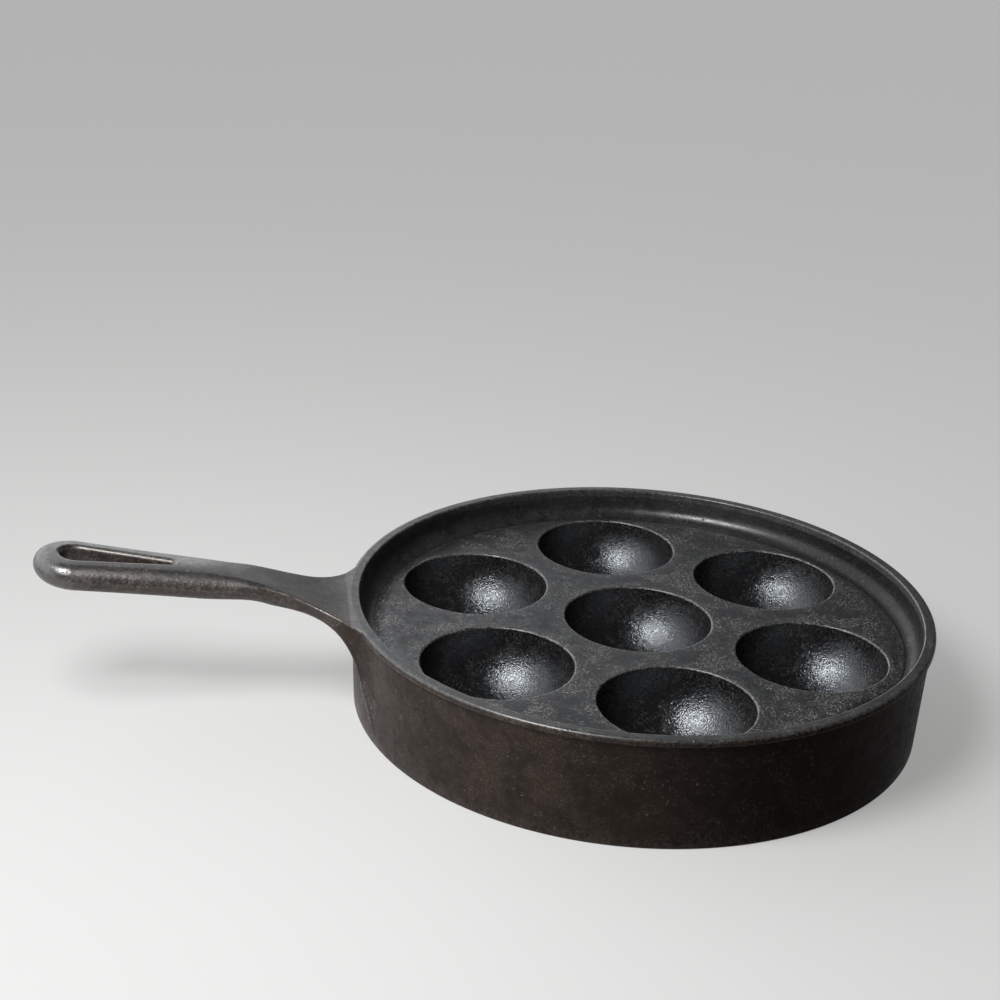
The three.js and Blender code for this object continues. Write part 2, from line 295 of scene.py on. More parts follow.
@dataclass(frozen=True)
class HandleSizes:
    """Sizes of the handle, in millimetres."""

    length: float = HANDLE_LENGTH
    neck_offset: float = 32.5  # narrowest place, beyond the rim
    neck_half_width: float = 10.0
    neck_thickness: float = 8.4
    grip_half_width: float = 15.3
    grip_thickness: float = 9.9
    crown: float = 1.2  # rise of the middle of the grip's top over its edges
    swell_length: float = 26.0  # stretch in which the neck takes on thickness and crown
    knee_length: float = 42.2  # stretch in which the handle rises off the rim
    knee_rise: float = 7.0
    slope_rise: float = 15.4  # even rise along the whole handle
    root_edge: float = 0.6
    top_squaring: Range = (18.0, 32.0)  # where the top edges sharpen, from the neck, and how slowly
    under_squaring: Range = (4.0, 26.0)
    heel_height: float = 20.0  # the underside turns downright here
    heel_inset: float = 2.0  # depth inside the wall
    heel_pull: Range = (5.0, 30.5)  # curve handle of the underside
    toe_height: float = 8.0
    toe_inset: float = 5.2
    neck_pull: Range = (10.0, 3.6)
    seam_height: float = 0.16  # ridge that the halves of the mould leave along the sides
    seam_width: float = 0.5
    seam_start: Range = (12.0, 10.0)  # inside the neck, and how slowly it appears
    seam_end: Range = (228.0, 12.0)  # reach at which it is gone, and how slowly it fades
    slot_end_radius: float = 6.0
    slot_tip_radius: float = 1.5
    slot_length: float = 42.3
    slot_inset: float = 10.3  # iron between the slot and the end
    lip_width: float = 1.3
    lip_depth: float = 1.1
    lip_round: float = 0.6
    lip_flare: float = 4.0  # the lip's slope ends at this many widths
    wall_fillet: float = 1.3
    rim_fillet: float = 0.02  # nearly none along the rim
    rim_overlap: float = 2.6  # the bar ends this far outside the inside of the mouth
    seat_dip: float = 0.012  # how far the buried part lies under the wall's skin
    worn_spot: Range = (61.5, 1.5)  # rubbed patch, beyond the rim and to the side
    worn_reach: float = 5.0
    worn_stretch: float = 1.8  # the patch is this many times longer than wide


class Skin:
    """A growing surface in pan space whose faces each belong to a region."""

    def __init__(self) -> None:
        """Starts an empty surface."""
        self.points: list[np.ndarray] = []
        self.faces: list[np.ndarray] = []
        self.regions: list[np.ndarray] = []
        self.count = 0

    def add(self, points: np.ndarray, faces: np.ndarray, region: Region) -> None:
        """Adds points and their faces.

        Args:
            points: Array of shape (n, 3).
            faces: Array of shape (m, 4) of indices into points, triangles ending in NO_CORNER.
            region: Region that the faces belong to.
        """
        self.points.append(points)
        self.faces.append(np.where(faces >= 0, faces + self.count, NO_CORNER))
        self.regions.append(np.full(len(faces), list(Region).index(region)))
        self.count += len(points)

    def add_grid(self, grid: np.ndarray, region: Region, flip: bool) -> None:
        """Adds a band of closed rings.

        Args:
            grid: Points of shape (rings, points in a ring, 3), going round counter-clockwise.
            region: Region that the faces belong to.
            flip: True where the faces look inward for rings that run downward.
        """
        rows, columns = grid.shape[:2]
        i, j = np.meshgrid(np.arange(rows - 1), np.arange(columns), indexing="ij")
        k = (j + 1) % columns
        corners = (i * columns + j, i * columns + k, (i + 1) * columns + k, (i + 1) * columns + j)
        faces = np.stack(corners, -1).reshape(-1, 4)
        self.add(grid.reshape(-1, 3), faces[:, ::-1] if flip else faces, region)

    def welded(self) -> tuple[np.ndarray, np.ndarray, np.ndarray]:
        """Joins points that coincide and drops collapsed faces.

        Returns:
            Points (n, 3), faces (m, 4) with triangles ending in NO_CORNER, and a region per face.
        """
        points = np.concatenate(self.points)
        _, first, inverse = np.unique(
            np.round(points, WELD_DECIMALS), axis=0, return_index=True, return_inverse=True
        )
        faces = np.concatenate(self.faces)
        faces = np.where(faces >= 0, inverse.reshape(-1)[faces], NO_CORNER)
        tidy = []
        kept = []
        for row, face in enumerate(faces):
            corners = list(dict.fromkeys(corner for corner in face if corner >= 0))
            if len(corners) >= 3:
                tidy.append(corners + [NO_CORNER] * (4 - len(corners)))
                kept.append(row)
        return points[first], np.array(tidy), np.concatenate(self.regions)[kept]


def vertex_normals(points: np.ndarray, faces: np.ndarray) -> np.ndarray:
    """Works out area-weighted normals of a surface.

    Args:
        points: Array of shape (n, 3).
        faces: Array of shape (m, 4), triangles ending in NO_CORNER.

    Returns:
        A unit normal at each point.
    """
    normals = np.zeros_like(points)
    last = np.where(faces[:, 3] >= 0, faces[:, 3], faces[:, 2])
    across = np.cross(points[faces[:, 2]] - points[faces[:, 0]], points[last] - points[faces[:, 1]])
    triangles = faces[:, 3] < 0
    first, second, third = (points[faces[triangles, c]] for c in range(3))
    across[triangles] = np.cross(second - first, third - first)
    for corner in range(4):
        used = faces[:, corner] >= 0
        np.add.at(normals, faces[used, corner], across[used])
    return unit(normals)


def bend_of(points: np.ndarray, normals: np.ndarray, faces: np.ndarray) -> np.ndarray:
    """Works out how sharply a surface bends.

    Args:
        points: Array of shape (n, 3).
        normals: Unit normal at each point.
        faces: Array of shape (m, 4), triangles ending in NO_CORNER.

    Returns:
        Mean bend at each point, in 1/mm, above zero on convex edges.
    """
    pairs = []
    for corner in range(4):
        following = faces[:, (corner + 1) % 4].copy()
        closing = following < 0
        following[closing] = faces[closing, 0]
        used = faces[:, corner] >= 0
        pairs.append(np.stack([faces[used, corner], following[used]], -1))
    edges = np.unique(np.sort(np.concatenate(pairs), axis=1), axis=0)
    edges = edges[edges[:, 0] != edges[:, 1]]
    step = points[edges[:, 1]] - points[edges[:, 0]]
    turn = normals[edges[:, 1]] - normals[edges[:, 0]]
    length = np.einsum("ij,ij->i", step, step)
    bend = np.einsum("ij,ij->i", step, turn) / np.maximum(length, TINY)
    total = np.zeros(len(points))
    weight = np.zeros(len(points))
    for side in range(2):
        np.add.at(total, edges[:, side], bend)
        np.add.at(weight, edges[:, side], 1.0)
    return total / np.maximum(weight, 1.0)


def rounded_path(
    corners: list[tuple[float, float, float]], steps: int = 5, longest: float = 6.0
) -> np.ndarray:
    """Draws a polyline in the profile plane whose corners are rounded.

    Args:
        corners: Radius, height and rounding of each corner.
        steps: Points along each rounding, less one.
        longest: Longest step between neighbouring points.

    Returns:
        Points of shape (n, 2).
    """
    straight = 1e-3  # corners that turn less than this stay as they are
    path = [np.array(corners[0][:2])]
    for before, here, after in zip(corners, corners[1:], corners[2:]):
        p = np.array(here[:2])
        back = np.array(before[:2]) - p
        ahead = np.array(after[:2]) - p
        back /= np.linalg.norm(back)
        ahead /= np.linalg.norm(ahead)
        half = math.acos(float(np.clip(back @ ahead, -1.0, 1.0))) / 2.0
        if here[2] <= 0.0 or half > math.pi / 2.0 - straight:
            path.append(p)
            continue
        run = here[2] / math.tan(half)
        centre = p + (back + ahead) / np.linalg.norm(back + ahead) * here[2] / math.sin(half)
        start = p + back * run - centre
        end = p + ahead * run - centre
        sweep = math.pi - 2.0 * half
        for share in np.arange(steps + 1) / steps:
            mixed = math.sin((1.0 - share) * sweep) * start + math.sin(share * sweep) * end
            path.append(centre + mixed / math.sin(sweep))
    path.append(np.array(corners[-1][:2]))
    fine = [path[0]]
    for before, here in zip(path, path[1:]):
        pieces = max(1, math.ceil(float(np.linalg.norm(here - before)) / longest))
        fine += [before + (here - before) * i / pieces for i in range(1, pieces + 1)]
    return np.array(fine)


class RoundBody:
    """Round body of the pan: deck, wells, wall, rim and underside as one skin."""

    RING_COUNT = 576  # points round the pan
    WELL_COUNT = 192  # points round a well
    WELL_RINGS = 41  # from the mouth of a well to its bottom
    MOUTH_RINGS = 4  # rings in which a well's mouth becomes level
    BOWL_RINGS = 25  # down the outside of a bowl
    COVE_POINTS = 14
    GRID_STEP = 3.2
    EDGE_CLEARANCE = 0.3  # least distance of points from the plate's edge
    HOLE_CLEARANCE = 0.6  # and of the edge's rings from a hole, as a share of its widest ring
    LIP_OFFSETS = (0.03, 0.1, 0.22, 0.4, 0.65, 1.0, 1.6, 2.6)  # rings round a well, in lip roundings
    FILLET_OFFSETS = (0.08, 0.3, 0.65, 1.0)  # rings round a bowl, in fillets
    GUTTER_RINGS = (0.0, 1.0, 2.0, 2.8)  # inward from the plate's edge
    GUTTER_EDGE_RINGS = (1.4, 1.0, 0.6, 0.2, -0.2, -0.6, -1.0, -1.5)  # either side of the deck's edge
    UNDER_RINGS = (0.0, 2.1)  # inward from the edge of the underside
    GUTTER_RUN = 0.7  # gutter floor that belongs to the wall's profile
    UNDER_RUN = 0.5  # and deck underside that belongs to the ledge's
    CORNER_DIP = 0.02
    CORNER_ROUND = 0.35
    CORNER_STEPS = 3
    CORNER_SWEEP = 0.06  # of the cove, in radians, taken up by the gutter's corner
    BEAD_UNDER_ROUND = 0.9  # rounding under the bead, as a share of the one over it
    BEAD_SLOPE = 0.1  # fall of the bead's underside towards the wall
    BEAD_LEAD = 1.0  # wall under the bead that belongs to the rim
    BEAD_STEPS = 7  # points along each rounding of the bead, less one
    RIM_STEP = 0.5  # longest step along the rim's profile
    UPPER_RINGS = 4  # from the rim to the deck's underside, outside
    OUTER_LEVELS = (24.0, 18.0, 12.0, 6.0)  # rings down the outer wall
    INNER_LEVEL = 12.0
    HAUNCH_ROUND = 4.0
    LEDGE_ROUNDS = (1.0, 0.25)  # at the ledge's foot and at the deck

    def __init__(self, sizes: PanSizes) -> None:
        """Sets the edges at which the deck plate ends.

        Args:
            sizes: Sizes of the round body.
        """
        self.sizes = sizes
        self.skin = Skin()
        self.top_edge = sizes.cove_foot_radius - self.GUTTER_RUN
        self.under_edge = sizes.ledge_radius - self.UNDER_RUN

    def fall(self, plan: np.ndarray, hole: float, rounding: float) -> np.ndarray:
        """How far a side of the deck falls where it rounds into the nearest hole."""
        left = np.clip(rounding - (self.sizes.well_distance(plan) - hole), 0.0, rounding)
        return rounding - np.sqrt(rounding**2 - left**2)

    def top_height(self, plan: np.ndarray) -> np.ndarray:
        """Works out the height of the deck's top, which falls into the gutter and rounds into wells.

        Args:
            plan: Points of shape (n, 2).

        Returns:
            A height for each point.
        """
        s = self.sizes
        slope = s.gutter_depth / (s.deck_edge_radius - s.deck_flat_radius)
        past = from_axis(plan) - s.deck_flat_radius
        height = s.deck_top - slope * soft_max(past, np.zeros_like(past), 2.0 * s.edge_round)
        return height - self.fall(plan, s.well_radius, s.lip_round)

    def bowl_start(self) -> float:
        """Angle down a bowl's outside, in radians, at which the fillet to the deck ends."""
        s = self.sizes
        return math.asin((s.deck_thickness + s.bowl_fillet) / (s.well_depth + s.bowl_thickness))

    def bowl_outer_radius(self) -> float:
        """Radius of a bowl's outside where the fillet to the deck begins."""
        return (self.sizes.well_radius + self.sizes.bowl_thickness) * math.cos(self.bowl_start())

    def under_height(self, plan: np.ndarray) -> np.ndarray:
        """Height of the deck's underside, with a fillet round each bowl."""
        fall = self.fall(plan, self.bowl_outer_radius(), self.sizes.bowl_fillet)
        return self.sizes.deck_underside - fall

    def filling(self, hole: float, offsets: list[float], radii: list[float]) -> list[np.ndarray]:
        """Scatters points between the plate's edge and its holes, densest along both.

        Args:
            hole: Radius of the holes.
            offsets: Distances from a hole's edge at which rings of points lie.
            radii: Radii of the rings of points near the plate's edge, the edge first.

        Returns:
            Groups of points of the plan.
        """
        groups = []
        for centre in self.sizes.well_centres():
            for offset in offsets:
                points = ring(centre, hole + offset, self.WELL_COUNT)
                groups.append(points[from_axis(points) < radii[0] - self.EDGE_CLEARANCE])
        clearance = hole + self.HOLE_CLEARANCE * offsets[-1]
        for radius in radii[1:]:
            points = ring((0.0, 0.0), radius, self.RING_COUNT)
            groups.append(points[self.sizes.well_distance(points) > clearance])
        span = np.arange(-radii[0], radii[0], self.GRID_STEP)
        x, y = np.meshgrid(span, span)
        x = x + (np.arange(len(span)) % 2 * self.GRID_STEP / 2.0)[:, None]
        grid = np.stack([x.ravel(), y.ravel()], -1)
        grid = grid[from_axis(grid) < radii[-1] - self.GRID_STEP / 2.0]
        clear = self.sizes.well_distance(grid) > hole + offsets[-1] + self.GRID_STEP / 2.0
        return groups + [grid[clear]]

    def plate(self, hole: float, offsets: list[float], radii: list[float], upward: bool) -> None:
        """Adds one side of the deck plate, triangulated round the seven holes.

        Args:
            hole: Radius of the holes.
            offsets: Distances from a hole's edge at which rings of points lie.
            radii: Radii of the rings of points near the plate's edge, the edge first.
            upward: True for the top side, False for the underside.
        """
        merge_distance = 1e-7
        rings = [ring((0.0, 0.0), radii[0], self.RING_COUNT)]
        rings += [ring(centre, hole, self.WELL_COUNT) for centre in self.sizes.well_centres()]
        edges: list[tuple[int, int]] = []
        for outline in rings:
            start = edges[-1][0] + 1 if edges else 0
            edges += [(start + i, start + (i + 1) % len(outline)) for i in range(len(outline))]
        points = np.concatenate(rings + self.filling(hole, offsets, radii))
        found = delaunay_2d_cdt([Vector(p) for p in points], edges, [], 0, merge_distance)
        origin = np.array([ids[0] if ids else NO_CORNER for ids in found[3]])
        faces = origin[np.array([f for f in found[2] if len(f) == 3])]
        faces = faces[(faces >= 0).all(axis=1)]
        faces = faces[self.sizes.well_distance(points[faces].mean(axis=1)) > hole - 10.0 * merge_distance]
        a, b, c = (points[faces[:, k]] for k in range(3))
        turn = (b - a)[:, 0] * (c - a)[:, 1] - (b - a)[:, 1] * (c - a)[:, 0]
        faces = faces[np.abs(turn) > TINY]
        turn = turn[np.abs(turn) > TINY]
        wrong = (turn < 0) if upward else (turn > 0)
        faces[wrong] = faces[wrong][:, ::-1]
        height = self.top_height(points) if upward else self.under_height(points)
        closed = np.concatenate([faces, np.full((len(faces), 1), NO_CORNER)], axis=1)
        self.skin.add(raised(points, height), closed, Region.DECK)

    def well_inside(self, region: Region, centre: tuple[float, float]) -> None:
        """Adds the inside of a well, whose mouth follows the deck.

        Args:
            region: Region that the well belongs to.
            centre: Axis of the well in the plan.
        """
        s = self.sizes
        top = s.deck_top - s.lip_round
        lift = self.top_height(ring(centre, s.well_radius, self.WELL_COUNT)) - top
        rows = []
        for row, share in enumerate(np.linspace(0.0, 1.0, self.WELL_RINGS)):
            angle = share * math.pi / 2.0
            plan = ring(centre, s.well_radius * math.cos(angle) if share < 1.0 else 0.0, self.WELL_COUNT)
            height = top - (s.well_depth - s.lip_round) * math.sin(angle)
            rows.append(raised(plan, height + lift * max(0.0, 1.0 - row / self.MOUTH_RINGS)))
        self.skin.add_grid(np.array(rows), region, flip=True)

    def bowl_outside(self, region: Region, centre: tuple[float, float]) -> None:
        """Adds the outside of a well's bowl, from the deck's underside down.

        Args:
            region: Region that the bowl belongs to.
            centre: Axis of the bowl in the plan.
        """
        s = self.sizes
        start = self.bowl_start()
        edge = ring(centre, self.bowl_outer_radius(), self.WELL_COUNT)
        rows = [raised(edge, self.under_height(edge))]
        for share in np.linspace(0.0, 1.0, self.BOWL_RINGS)[1:]:
            angle = start + share * (math.pi / 2.0 - start)
            radius = (s.well_radius + s.bowl_thickness) * math.cos(angle) if share < 1.0 else 0.0
            height = s.deck_top - (s.well_depth + s.bowl_thickness) * math.sin(angle)
            rows.append(raised(ring(centre, radius, self.WELL_COUNT), height))
        self.skin.add_grid(np.array(rows), region, flip=False)

    def inner_profile(self) -> np.ndarray:
        """Draws the inside of the wall.

        Returns:
            Radius and height of points from the gutter's floor up the cove to the rim.
        """
        s = self.sizes
        start = math.radians(s.cove_start)
        x = s.cove_foot_radius - s.cove_radius * math.sin(start)
        z = s.gutter_floor + s.cove_radius * math.cos(start)
        cove = []
        for angle in np.linspace(start + self.CORNER_SWEEP, math.pi / 2.0, self.COVE_POINTS):
            cove.append((x + s.cove_radius * math.sin(angle), z - s.cove_radius * math.cos(angle)))
        edge = float(self.top_height(np.array([[self.top_edge, 0.0]]))[0])
        corner = (s.cove_foot_radius, s.gutter_floor - self.CORNER_DIP, self.CORNER_ROUND)
        path = rounded_path([(self.top_edge, edge, 0.0), corner, (*cove[0], 0.0)], self.CORNER_STEPS)
        return np.concatenate([path, cove[1:], [(s.mouth_inner_radius, s.bead_underside)]])

    def rim_profile(self) -> np.ndarray:
        """Draws the rim bead.

        Returns:
            Radius and height of points from the inside of the mouth over the bead to the wall.
        """
        s = self.sizes
        below = s.bead_underside - self.BEAD_LEAD
        corners = [
            (s.mouth_inner_radius, s.bead_underside, 0.0),
            (s.mouth_inner_radius, s.pan_height, s.rim_inner_round),
            (s.mouth_radius, s.pan_height, s.bead_round),
            (s.mouth_radius, s.bead_underside, s.bead_round * self.BEAD_UNDER_ROUND),
            (s.wall_top_radius, s.bead_underside - self.BEAD_SLOPE, self.CORNER_ROUND),
            (s.wall_radius_at(below), below, 0.0),
        ]
        return rounded_path(corners, self.BEAD_STEPS, self.RIM_STEP)

    def skirt_profile(self) -> np.ndarray:
        """Draws the lower wall, its foot and the ledge inside it.

        Returns:
            Radius and height of points down the outside, round the foot and up the inside.
        """
        s = self.sizes
        ledge_foot = s.deck_underside - s.ledge_thickness
        levels = (self.INNER_LEVEL, ledge_foot - s.haunch_height)
        corners = [(s.wall_radius_at(h), h, 0.0) for h in (s.deck_underside, *self.OUTER_LEVELS)]
        corners += [(s.wall_radius_at(0.0) - inset, 0.0, s.foot_round) for inset in (0.0, s.skirt_thickness)]
        for height, rounding in zip(levels, (0.0, self.HAUNCH_ROUND)):
            corners.append((s.wall_radius_at(height) - s.skirt_thickness, height, rounding))
        for height, rounding in zip((ledge_foot, s.deck_underside), self.LEDGE_ROUNDS):
            corners.append((s.ledge_radius, height, rounding))
        return rounded_path(corners + [(self.under_edge, s.deck_underside, 0.0)])

    def wall(self) -> None:
        """Adds gutter corner, cove, rim, outer wall, foot and the inside of the skirt."""
        s = self.sizes
        levels = np.linspace(s.bead_underside - self.BEAD_LEAD, s.deck_underside, self.UPPER_RINGS)
        circle = ring((0.0, 0.0), 1.0, self.RING_COUNT)
        for profile, region in (
            (self.inner_profile(), Region.TRAY_WALL),
            (self.rim_profile(), Region.RIM),
            ([(s.wall_radius_at(height), height) for height in levels], Region.TRAY_WALL),
            (self.skirt_profile(), Region.SKIRT),
        ):
            rows = [raised(circle * radius, height) for radius, height in profile]
            self.skin.add_grid(np.array(rows), region, flip=True)

    def build(self) -> Skin:
        """Makes the whole skin.

        Returns:
            The skin, with its regions still apart.
        """
        s = self.sizes
        edge_rings = [self.top_edge - step for step in self.GUTTER_RINGS]
        edge_rings += [s.deck_flat_radius + step for step in self.GUTTER_EDGE_RINGS]
        self.plate(s.well_radius, [s.lip_round * k for k in self.LIP_OFFSETS], edge_rings, upward=True)
        edge_rings = [self.under_edge - step for step in self.UNDER_RINGS]
        near = [s.bowl_fillet * k for k in self.FILLET_OFFSETS]
        self.plate(self.bowl_outer_radius(), near, edge_rings, upward=False)
        for region, centre in zip(WELL_REGIONS, s.well_centres()):
            self.well_inside(region, centre)
            self.bowl_outside(region, centre)
        self.wall()
        return self.skin


class HandleField:
    """Signed distance to the handle, its slot and the wall that it grows out of.

    Reach is the distance from the pan's axis towards the handle's end, side is across it.
    """

    REACH_RANGE = (104.0, 240.0)
    REACH_SAMPLES = 1361
    CURVE_SAMPLES = 200
    FLANK_CLEARANCE = 0.5  # keeps the flank's arc short of a half circle
    BEAD_OVERLAP = 0.5  # the wall reaches this far into the bead
    LIP_EASING = 0.5
    FILLET_FADE = (1.2, 4.0)  # over the bead's underside, and how slowly the fillet grows below it

    def __init__(self, pan: PanSizes, handle: HandleSizes) -> None:
        """Samples the handle's lines along its reach.

        Args:
            pan: Sizes of the round body.
            handle: Sizes of the handle.
        """
        self.pan = pan
        self.handle = handle
        self.end_reach = pan.mouth_radius + handle.length
        self.neck_reach = pan.mouth_radius + handle.neck_offset
        self.end_centre = self.end_reach - handle.grip_half_width
        wall = pan.wall_top_radius
        x, y = self.neck_reach, handle.neck_half_width
        self.flank_radius = (x**2 + y**2 - wall**2) / (2.0 * (wall - y))
        self.flank_centre = (x, y + self.flank_radius)
        reach = np.linspace(*self.REACH_RANGE, self.REACH_SAMPLES)
        self.reach = reach
        self.top = self.arch(reach) - handle.seat_dip
        self.bottom = self.underside(reach)
        self.width = self.half_width(reach)
        self.slopes = [np.gradient(row, reach) for row in (self.top, self.bottom, self.width)]

    def arch(self, reach: np.ndarray | float) -> np.ndarray:
        """Height of the top of the handle along its edges.

        Args:
            reach: Distance from the pan's axis.

        Returns:
            Height above the table.
        """
        h = self.handle
        along = np.maximum(0.0, reach - self.pan.mouth_radius)
        rise = h.knee_rise * smoothstep(along / h.knee_length)
        return self.pan.pan_height + rise + h.slope_rise * along / h.length

    def in_wall(self, height: float, inset: float) -> np.ndarray:
        """Point of the underside at a height, inset from the wall's outside."""
        return np.array([self.pan.wall_radius_at(height) - inset, height])

    def underside(self, reach: np.ndarray) -> np.ndarray:
        """Height of the underside: a curve that turns down into the wall, then the even grip.

        Args:
            reach: Distance from the pan's axis.

        Returns:
            Height above the table.
        """
        h = self.handle
        neck = np.array([self.neck_reach, float(self.arch(self.neck_reach)) - h.neck_thickness])
        heel = self.in_wall(h.heel_height, h.heel_inset)
        toe = self.in_wall(h.toe_height, h.toe_inset)
        t = np.linspace(0.0, 1.0, self.CURVE_SAMPLES)[:, None]
        curve = (1 - t) ** 3 * heel + 3 * (1 - t) ** 2 * t * (heel + np.array(h.heel_pull))
        curve = curve + 3 * (1 - t) * t * t * (neck - np.array(h.neck_pull)) + t**3 * neck
        path = np.concatenate([[toe + (toe - heel) * 2.0, toe], curve])
        swell = smoothstep((reach - self.neck_reach) / h.swell_length)
        thickness = h.neck_thickness + (h.grip_thickness - h.neck_thickness) * swell
        bracket = np.interp(reach, path[:, 0], path[:, 1])
        return np.where(reach < self.neck_reach, bracket, self.arch(reach) - thickness)

    def half_width(self, reach: np.ndarray) -> np.ndarray:
        """Half width of the root's flanks and of the grip up to its round end.

        Args:
            reach: Distance from the pan's axis.

        Returns:
            Half of the width across the handle.
        """
        h = self.handle
        flank = self.flank_radius
        back = np.clip(self.neck_reach - reach, 0.0, flank - self.FLANK_CLEARANCE)
        root = h.neck_half_width + flank - np.sqrt(flank**2 - back**2)
        share = np.clip((reach - self.neck_reach) / (self.end_centre - self.neck_reach), 0.0, 1.0)
        grip = h.neck_half_width + (h.grip_half_width - h.neck_half_width) * (share + share**2) / 2.0
        return np.where(reach < self.neck_reach, root, grip)

    def top_at(self, reach: np.ndarray, side: np.ndarray) -> np.ndarray:
        """Height of the handle's crowned top.

        Args:
            reach: Distance from the pan's axis.
            side: Place across the handle.

        Returns:
            Height above the table.
        """
        h = self.handle
        width = np.interp(np.minimum(reach, self.end_centre), self.reach, self.width)
        share = np.hypot(side, np.maximum(reach - self.end_centre, 0.0)) / width
        swell = smoothstep((reach - self.neck_reach) / h.swell_length)
        return np.interp(reach, self.reach, self.top) + h.crown * swell * np.maximum(1.0 - share**2, 0.0)

    def edge_radius(self, reach: np.ndarray, half_thickness: np.ndarray, upper: np.ndarray) -> np.ndarray:
        """Radius of the long edges: half rounds on the grip, nearly sharp on the root.

        Args:
            reach: Distance from the pan's axis.
            half_thickness: Half of the handle's thickness there.
            upper: Whether each point is nearer to the top than to the underside.

        Returns:
            Radius of the edge that each point is near.
        """
        h = self.handle
        start, length = (np.where(upper, *pair) for pair in zip(h.top_squaring, h.under_squaring))
        sharp = smoothstep((self.neck_reach + start - reach) / length)
        round_edge = np.where(reach < self.neck_reach, h.neck_thickness / 2.0, half_thickness)
        return round_edge * (1.0 - sharp) + h.root_edge * sharp

    def bar(self, reach: np.ndarray, side: np.ndarray, height: np.ndarray) -> np.ndarray:
        """Distance to the solid bar without its slot, with the mould's seam along its sides.

        Args:
            reach: Distance from the pan's axis.
            side: Place across the handle.
            height: Height above the table.

        Returns:
            Signed distance, below zero inside.
        """
        h = self.handle
        lines = (self.top, self.bottom, self.width)
        top, bottom, width = (np.interp(reach, self.reach, row) for row in lines)
        top_slope, bottom_slope, width_slope = (np.interp(reach, self.reach, row) for row in self.slopes)
        past_end = reach > self.end_centre
        width = np.where(past_end, h.grip_half_width, width)
        width_slope = np.where(past_end, 0.0, width_slope)
        middle = (top + bottom) / 2.0
        edge = self.edge_radius(reach, (top - bottom) / 2.0, height > middle)
        across = np.hypot(side, np.maximum(reach - self.end_centre, 0.0)) - width
        across = across / np.hypot(1.0, width_slope)
        above = (height - self.top_at(reach, side)) / np.hypot(1.0, top_slope)
        below = (bottom - height) / np.hypot(1.0, bottom_slope)
        upward = np.maximum(above, below)
        out = np.hypot(np.maximum(across + edge, 0.0), np.maximum(upward + edge, 0.0))
        solid = out + np.minimum(np.maximum(across, upward) + edge, 0.0) - edge
        shown = smoothstep((reach - self.neck_reach + h.seam_start[0]) / h.seam_start[1])
        shown = shown * smoothstep((h.seam_end[0] - reach) / h.seam_end[1])
        seam = shown * hump((height - middle) / h.seam_width) * smoothstep((across + edge) / edge)
        return solid - h.seam_height * seam

    def flank(self, reach: np.ndarray, side: np.ndarray, height: np.ndarray) -> np.ndarray:
        """Distance to the hollow flanks, which lean with the wall and end where they meet it.

        Args:
            reach: Distance from the pan's axis.
            side: Place across the handle.
            height: Height above the table.

        Returns:
            Signed distance, below zero between the flanks.
        """
        x, y = self.flank_centre
        lean = self.pan.wall_top_radius - self.pan.wall_radius_at(height)
        hollow = self.flank_radius + lean - np.hypot(reach - x, np.abs(side) - y)
        beyond = (np.abs(side) * x - reach * y) / math.hypot(x, y)
        return np.where(reach < self.neck_reach, np.maximum(hollow, beyond), -1.0)

    def round_wall(self, radius: np.ndarray, height: np.ndarray) -> np.ndarray:
        """Distance to the outside of the wall and its bead.

        Args:
            radius: Distance from the pan's axis in any direction.
            height: Height above the table.

        Returns:
            Signed distance, below zero inside the wall.
        """
        s = self.pan
        wall = np.maximum(radius - s.wall_radius_at(height), height - s.bead_underside - self.BEAD_OVERLAP)
        over = radius - s.mouth_radius + s.bead_round
        middle = s.pan_height - s.bead_height / 2.0
        above = np.abs(height - middle) - s.bead_height / 2.0 + s.bead_round
        outside = np.hypot(np.maximum(over, 0.0), np.maximum(above, 0.0))
        return np.minimum(wall, outside + np.minimum(np.maximum(over, above), 0.0) - s.bead_round)

    def slot(self, reach: np.ndarray, side: np.ndarray, height: np.ndarray) -> np.ndarray:
        """Distance to the teardrop slot, wider at its lip.

        Args:
            reach: Distance from the pan's axis.
            side: Place across the handle.
            height: Height above the table.

        Returns:
            Signed distance, below zero inside the slot.
        """
        h = self.handle
        big = self.end_reach - h.slot_inset - h.slot_end_radius
        small = self.end_reach - h.slot_inset - h.slot_length + h.slot_tip_radius
        span = big - small
        lean = (h.slot_end_radius - h.slot_tip_radius) / span
        cosine = math.sqrt(1.0 - lean * lean)
        along = big - reach
        out = np.abs(side)
        shifted = -lean * out + cosine * along
        edge = out * cosine + along * lean - h.slot_end_radius
        tip = np.hypot(out, along - span) - h.slot_tip_radius
        flat = np.where(shifted > cosine * span, tip, edge)
        flat = np.where(shifted < 0.0, np.hypot(out, along) - h.slot_end_radius, flat)
        below = self.top_at(reach, side) - height
        rise = soft_max(1.0 - below / h.lip_depth, np.zeros_like(below), self.LIP_EASING)
        return flat - h.lip_width * np.minimum(rise, h.lip_flare)

    def distance(self, points: np.ndarray) -> np.ndarray:
        """Distance to the iron of the handle and the wall.

        Args:
            points: Points in pan space, of shape (..., 3).

        Returns:
            Signed distance, below zero inside the iron.
        """
        reach, side, height = -points[..., 0], points[..., 1], points[..., 2]
        radius = np.hypot(reach, side)
        h = self.handle
        inner_end = self.pan.mouth_inner_radius + h.rim_overlap
        bar = np.maximum(self.bar(reach, side, height), inner_end - radius)
        wall = self.round_wall(radius, height) + h.seat_dip
        rise, fade = self.FILLET_FADE
        growth = smoothstep((self.pan.bead_underside + rise - height) / fade)
        joined = soft_min(bar, wall, h.rim_fillet + h.wall_fillet * growth)
        joined = np.minimum(np.maximum(joined, self.flank(reach, side, height)), wall)
        return soft_max(joined, -self.slot(reach, side, height), h.lip_round)

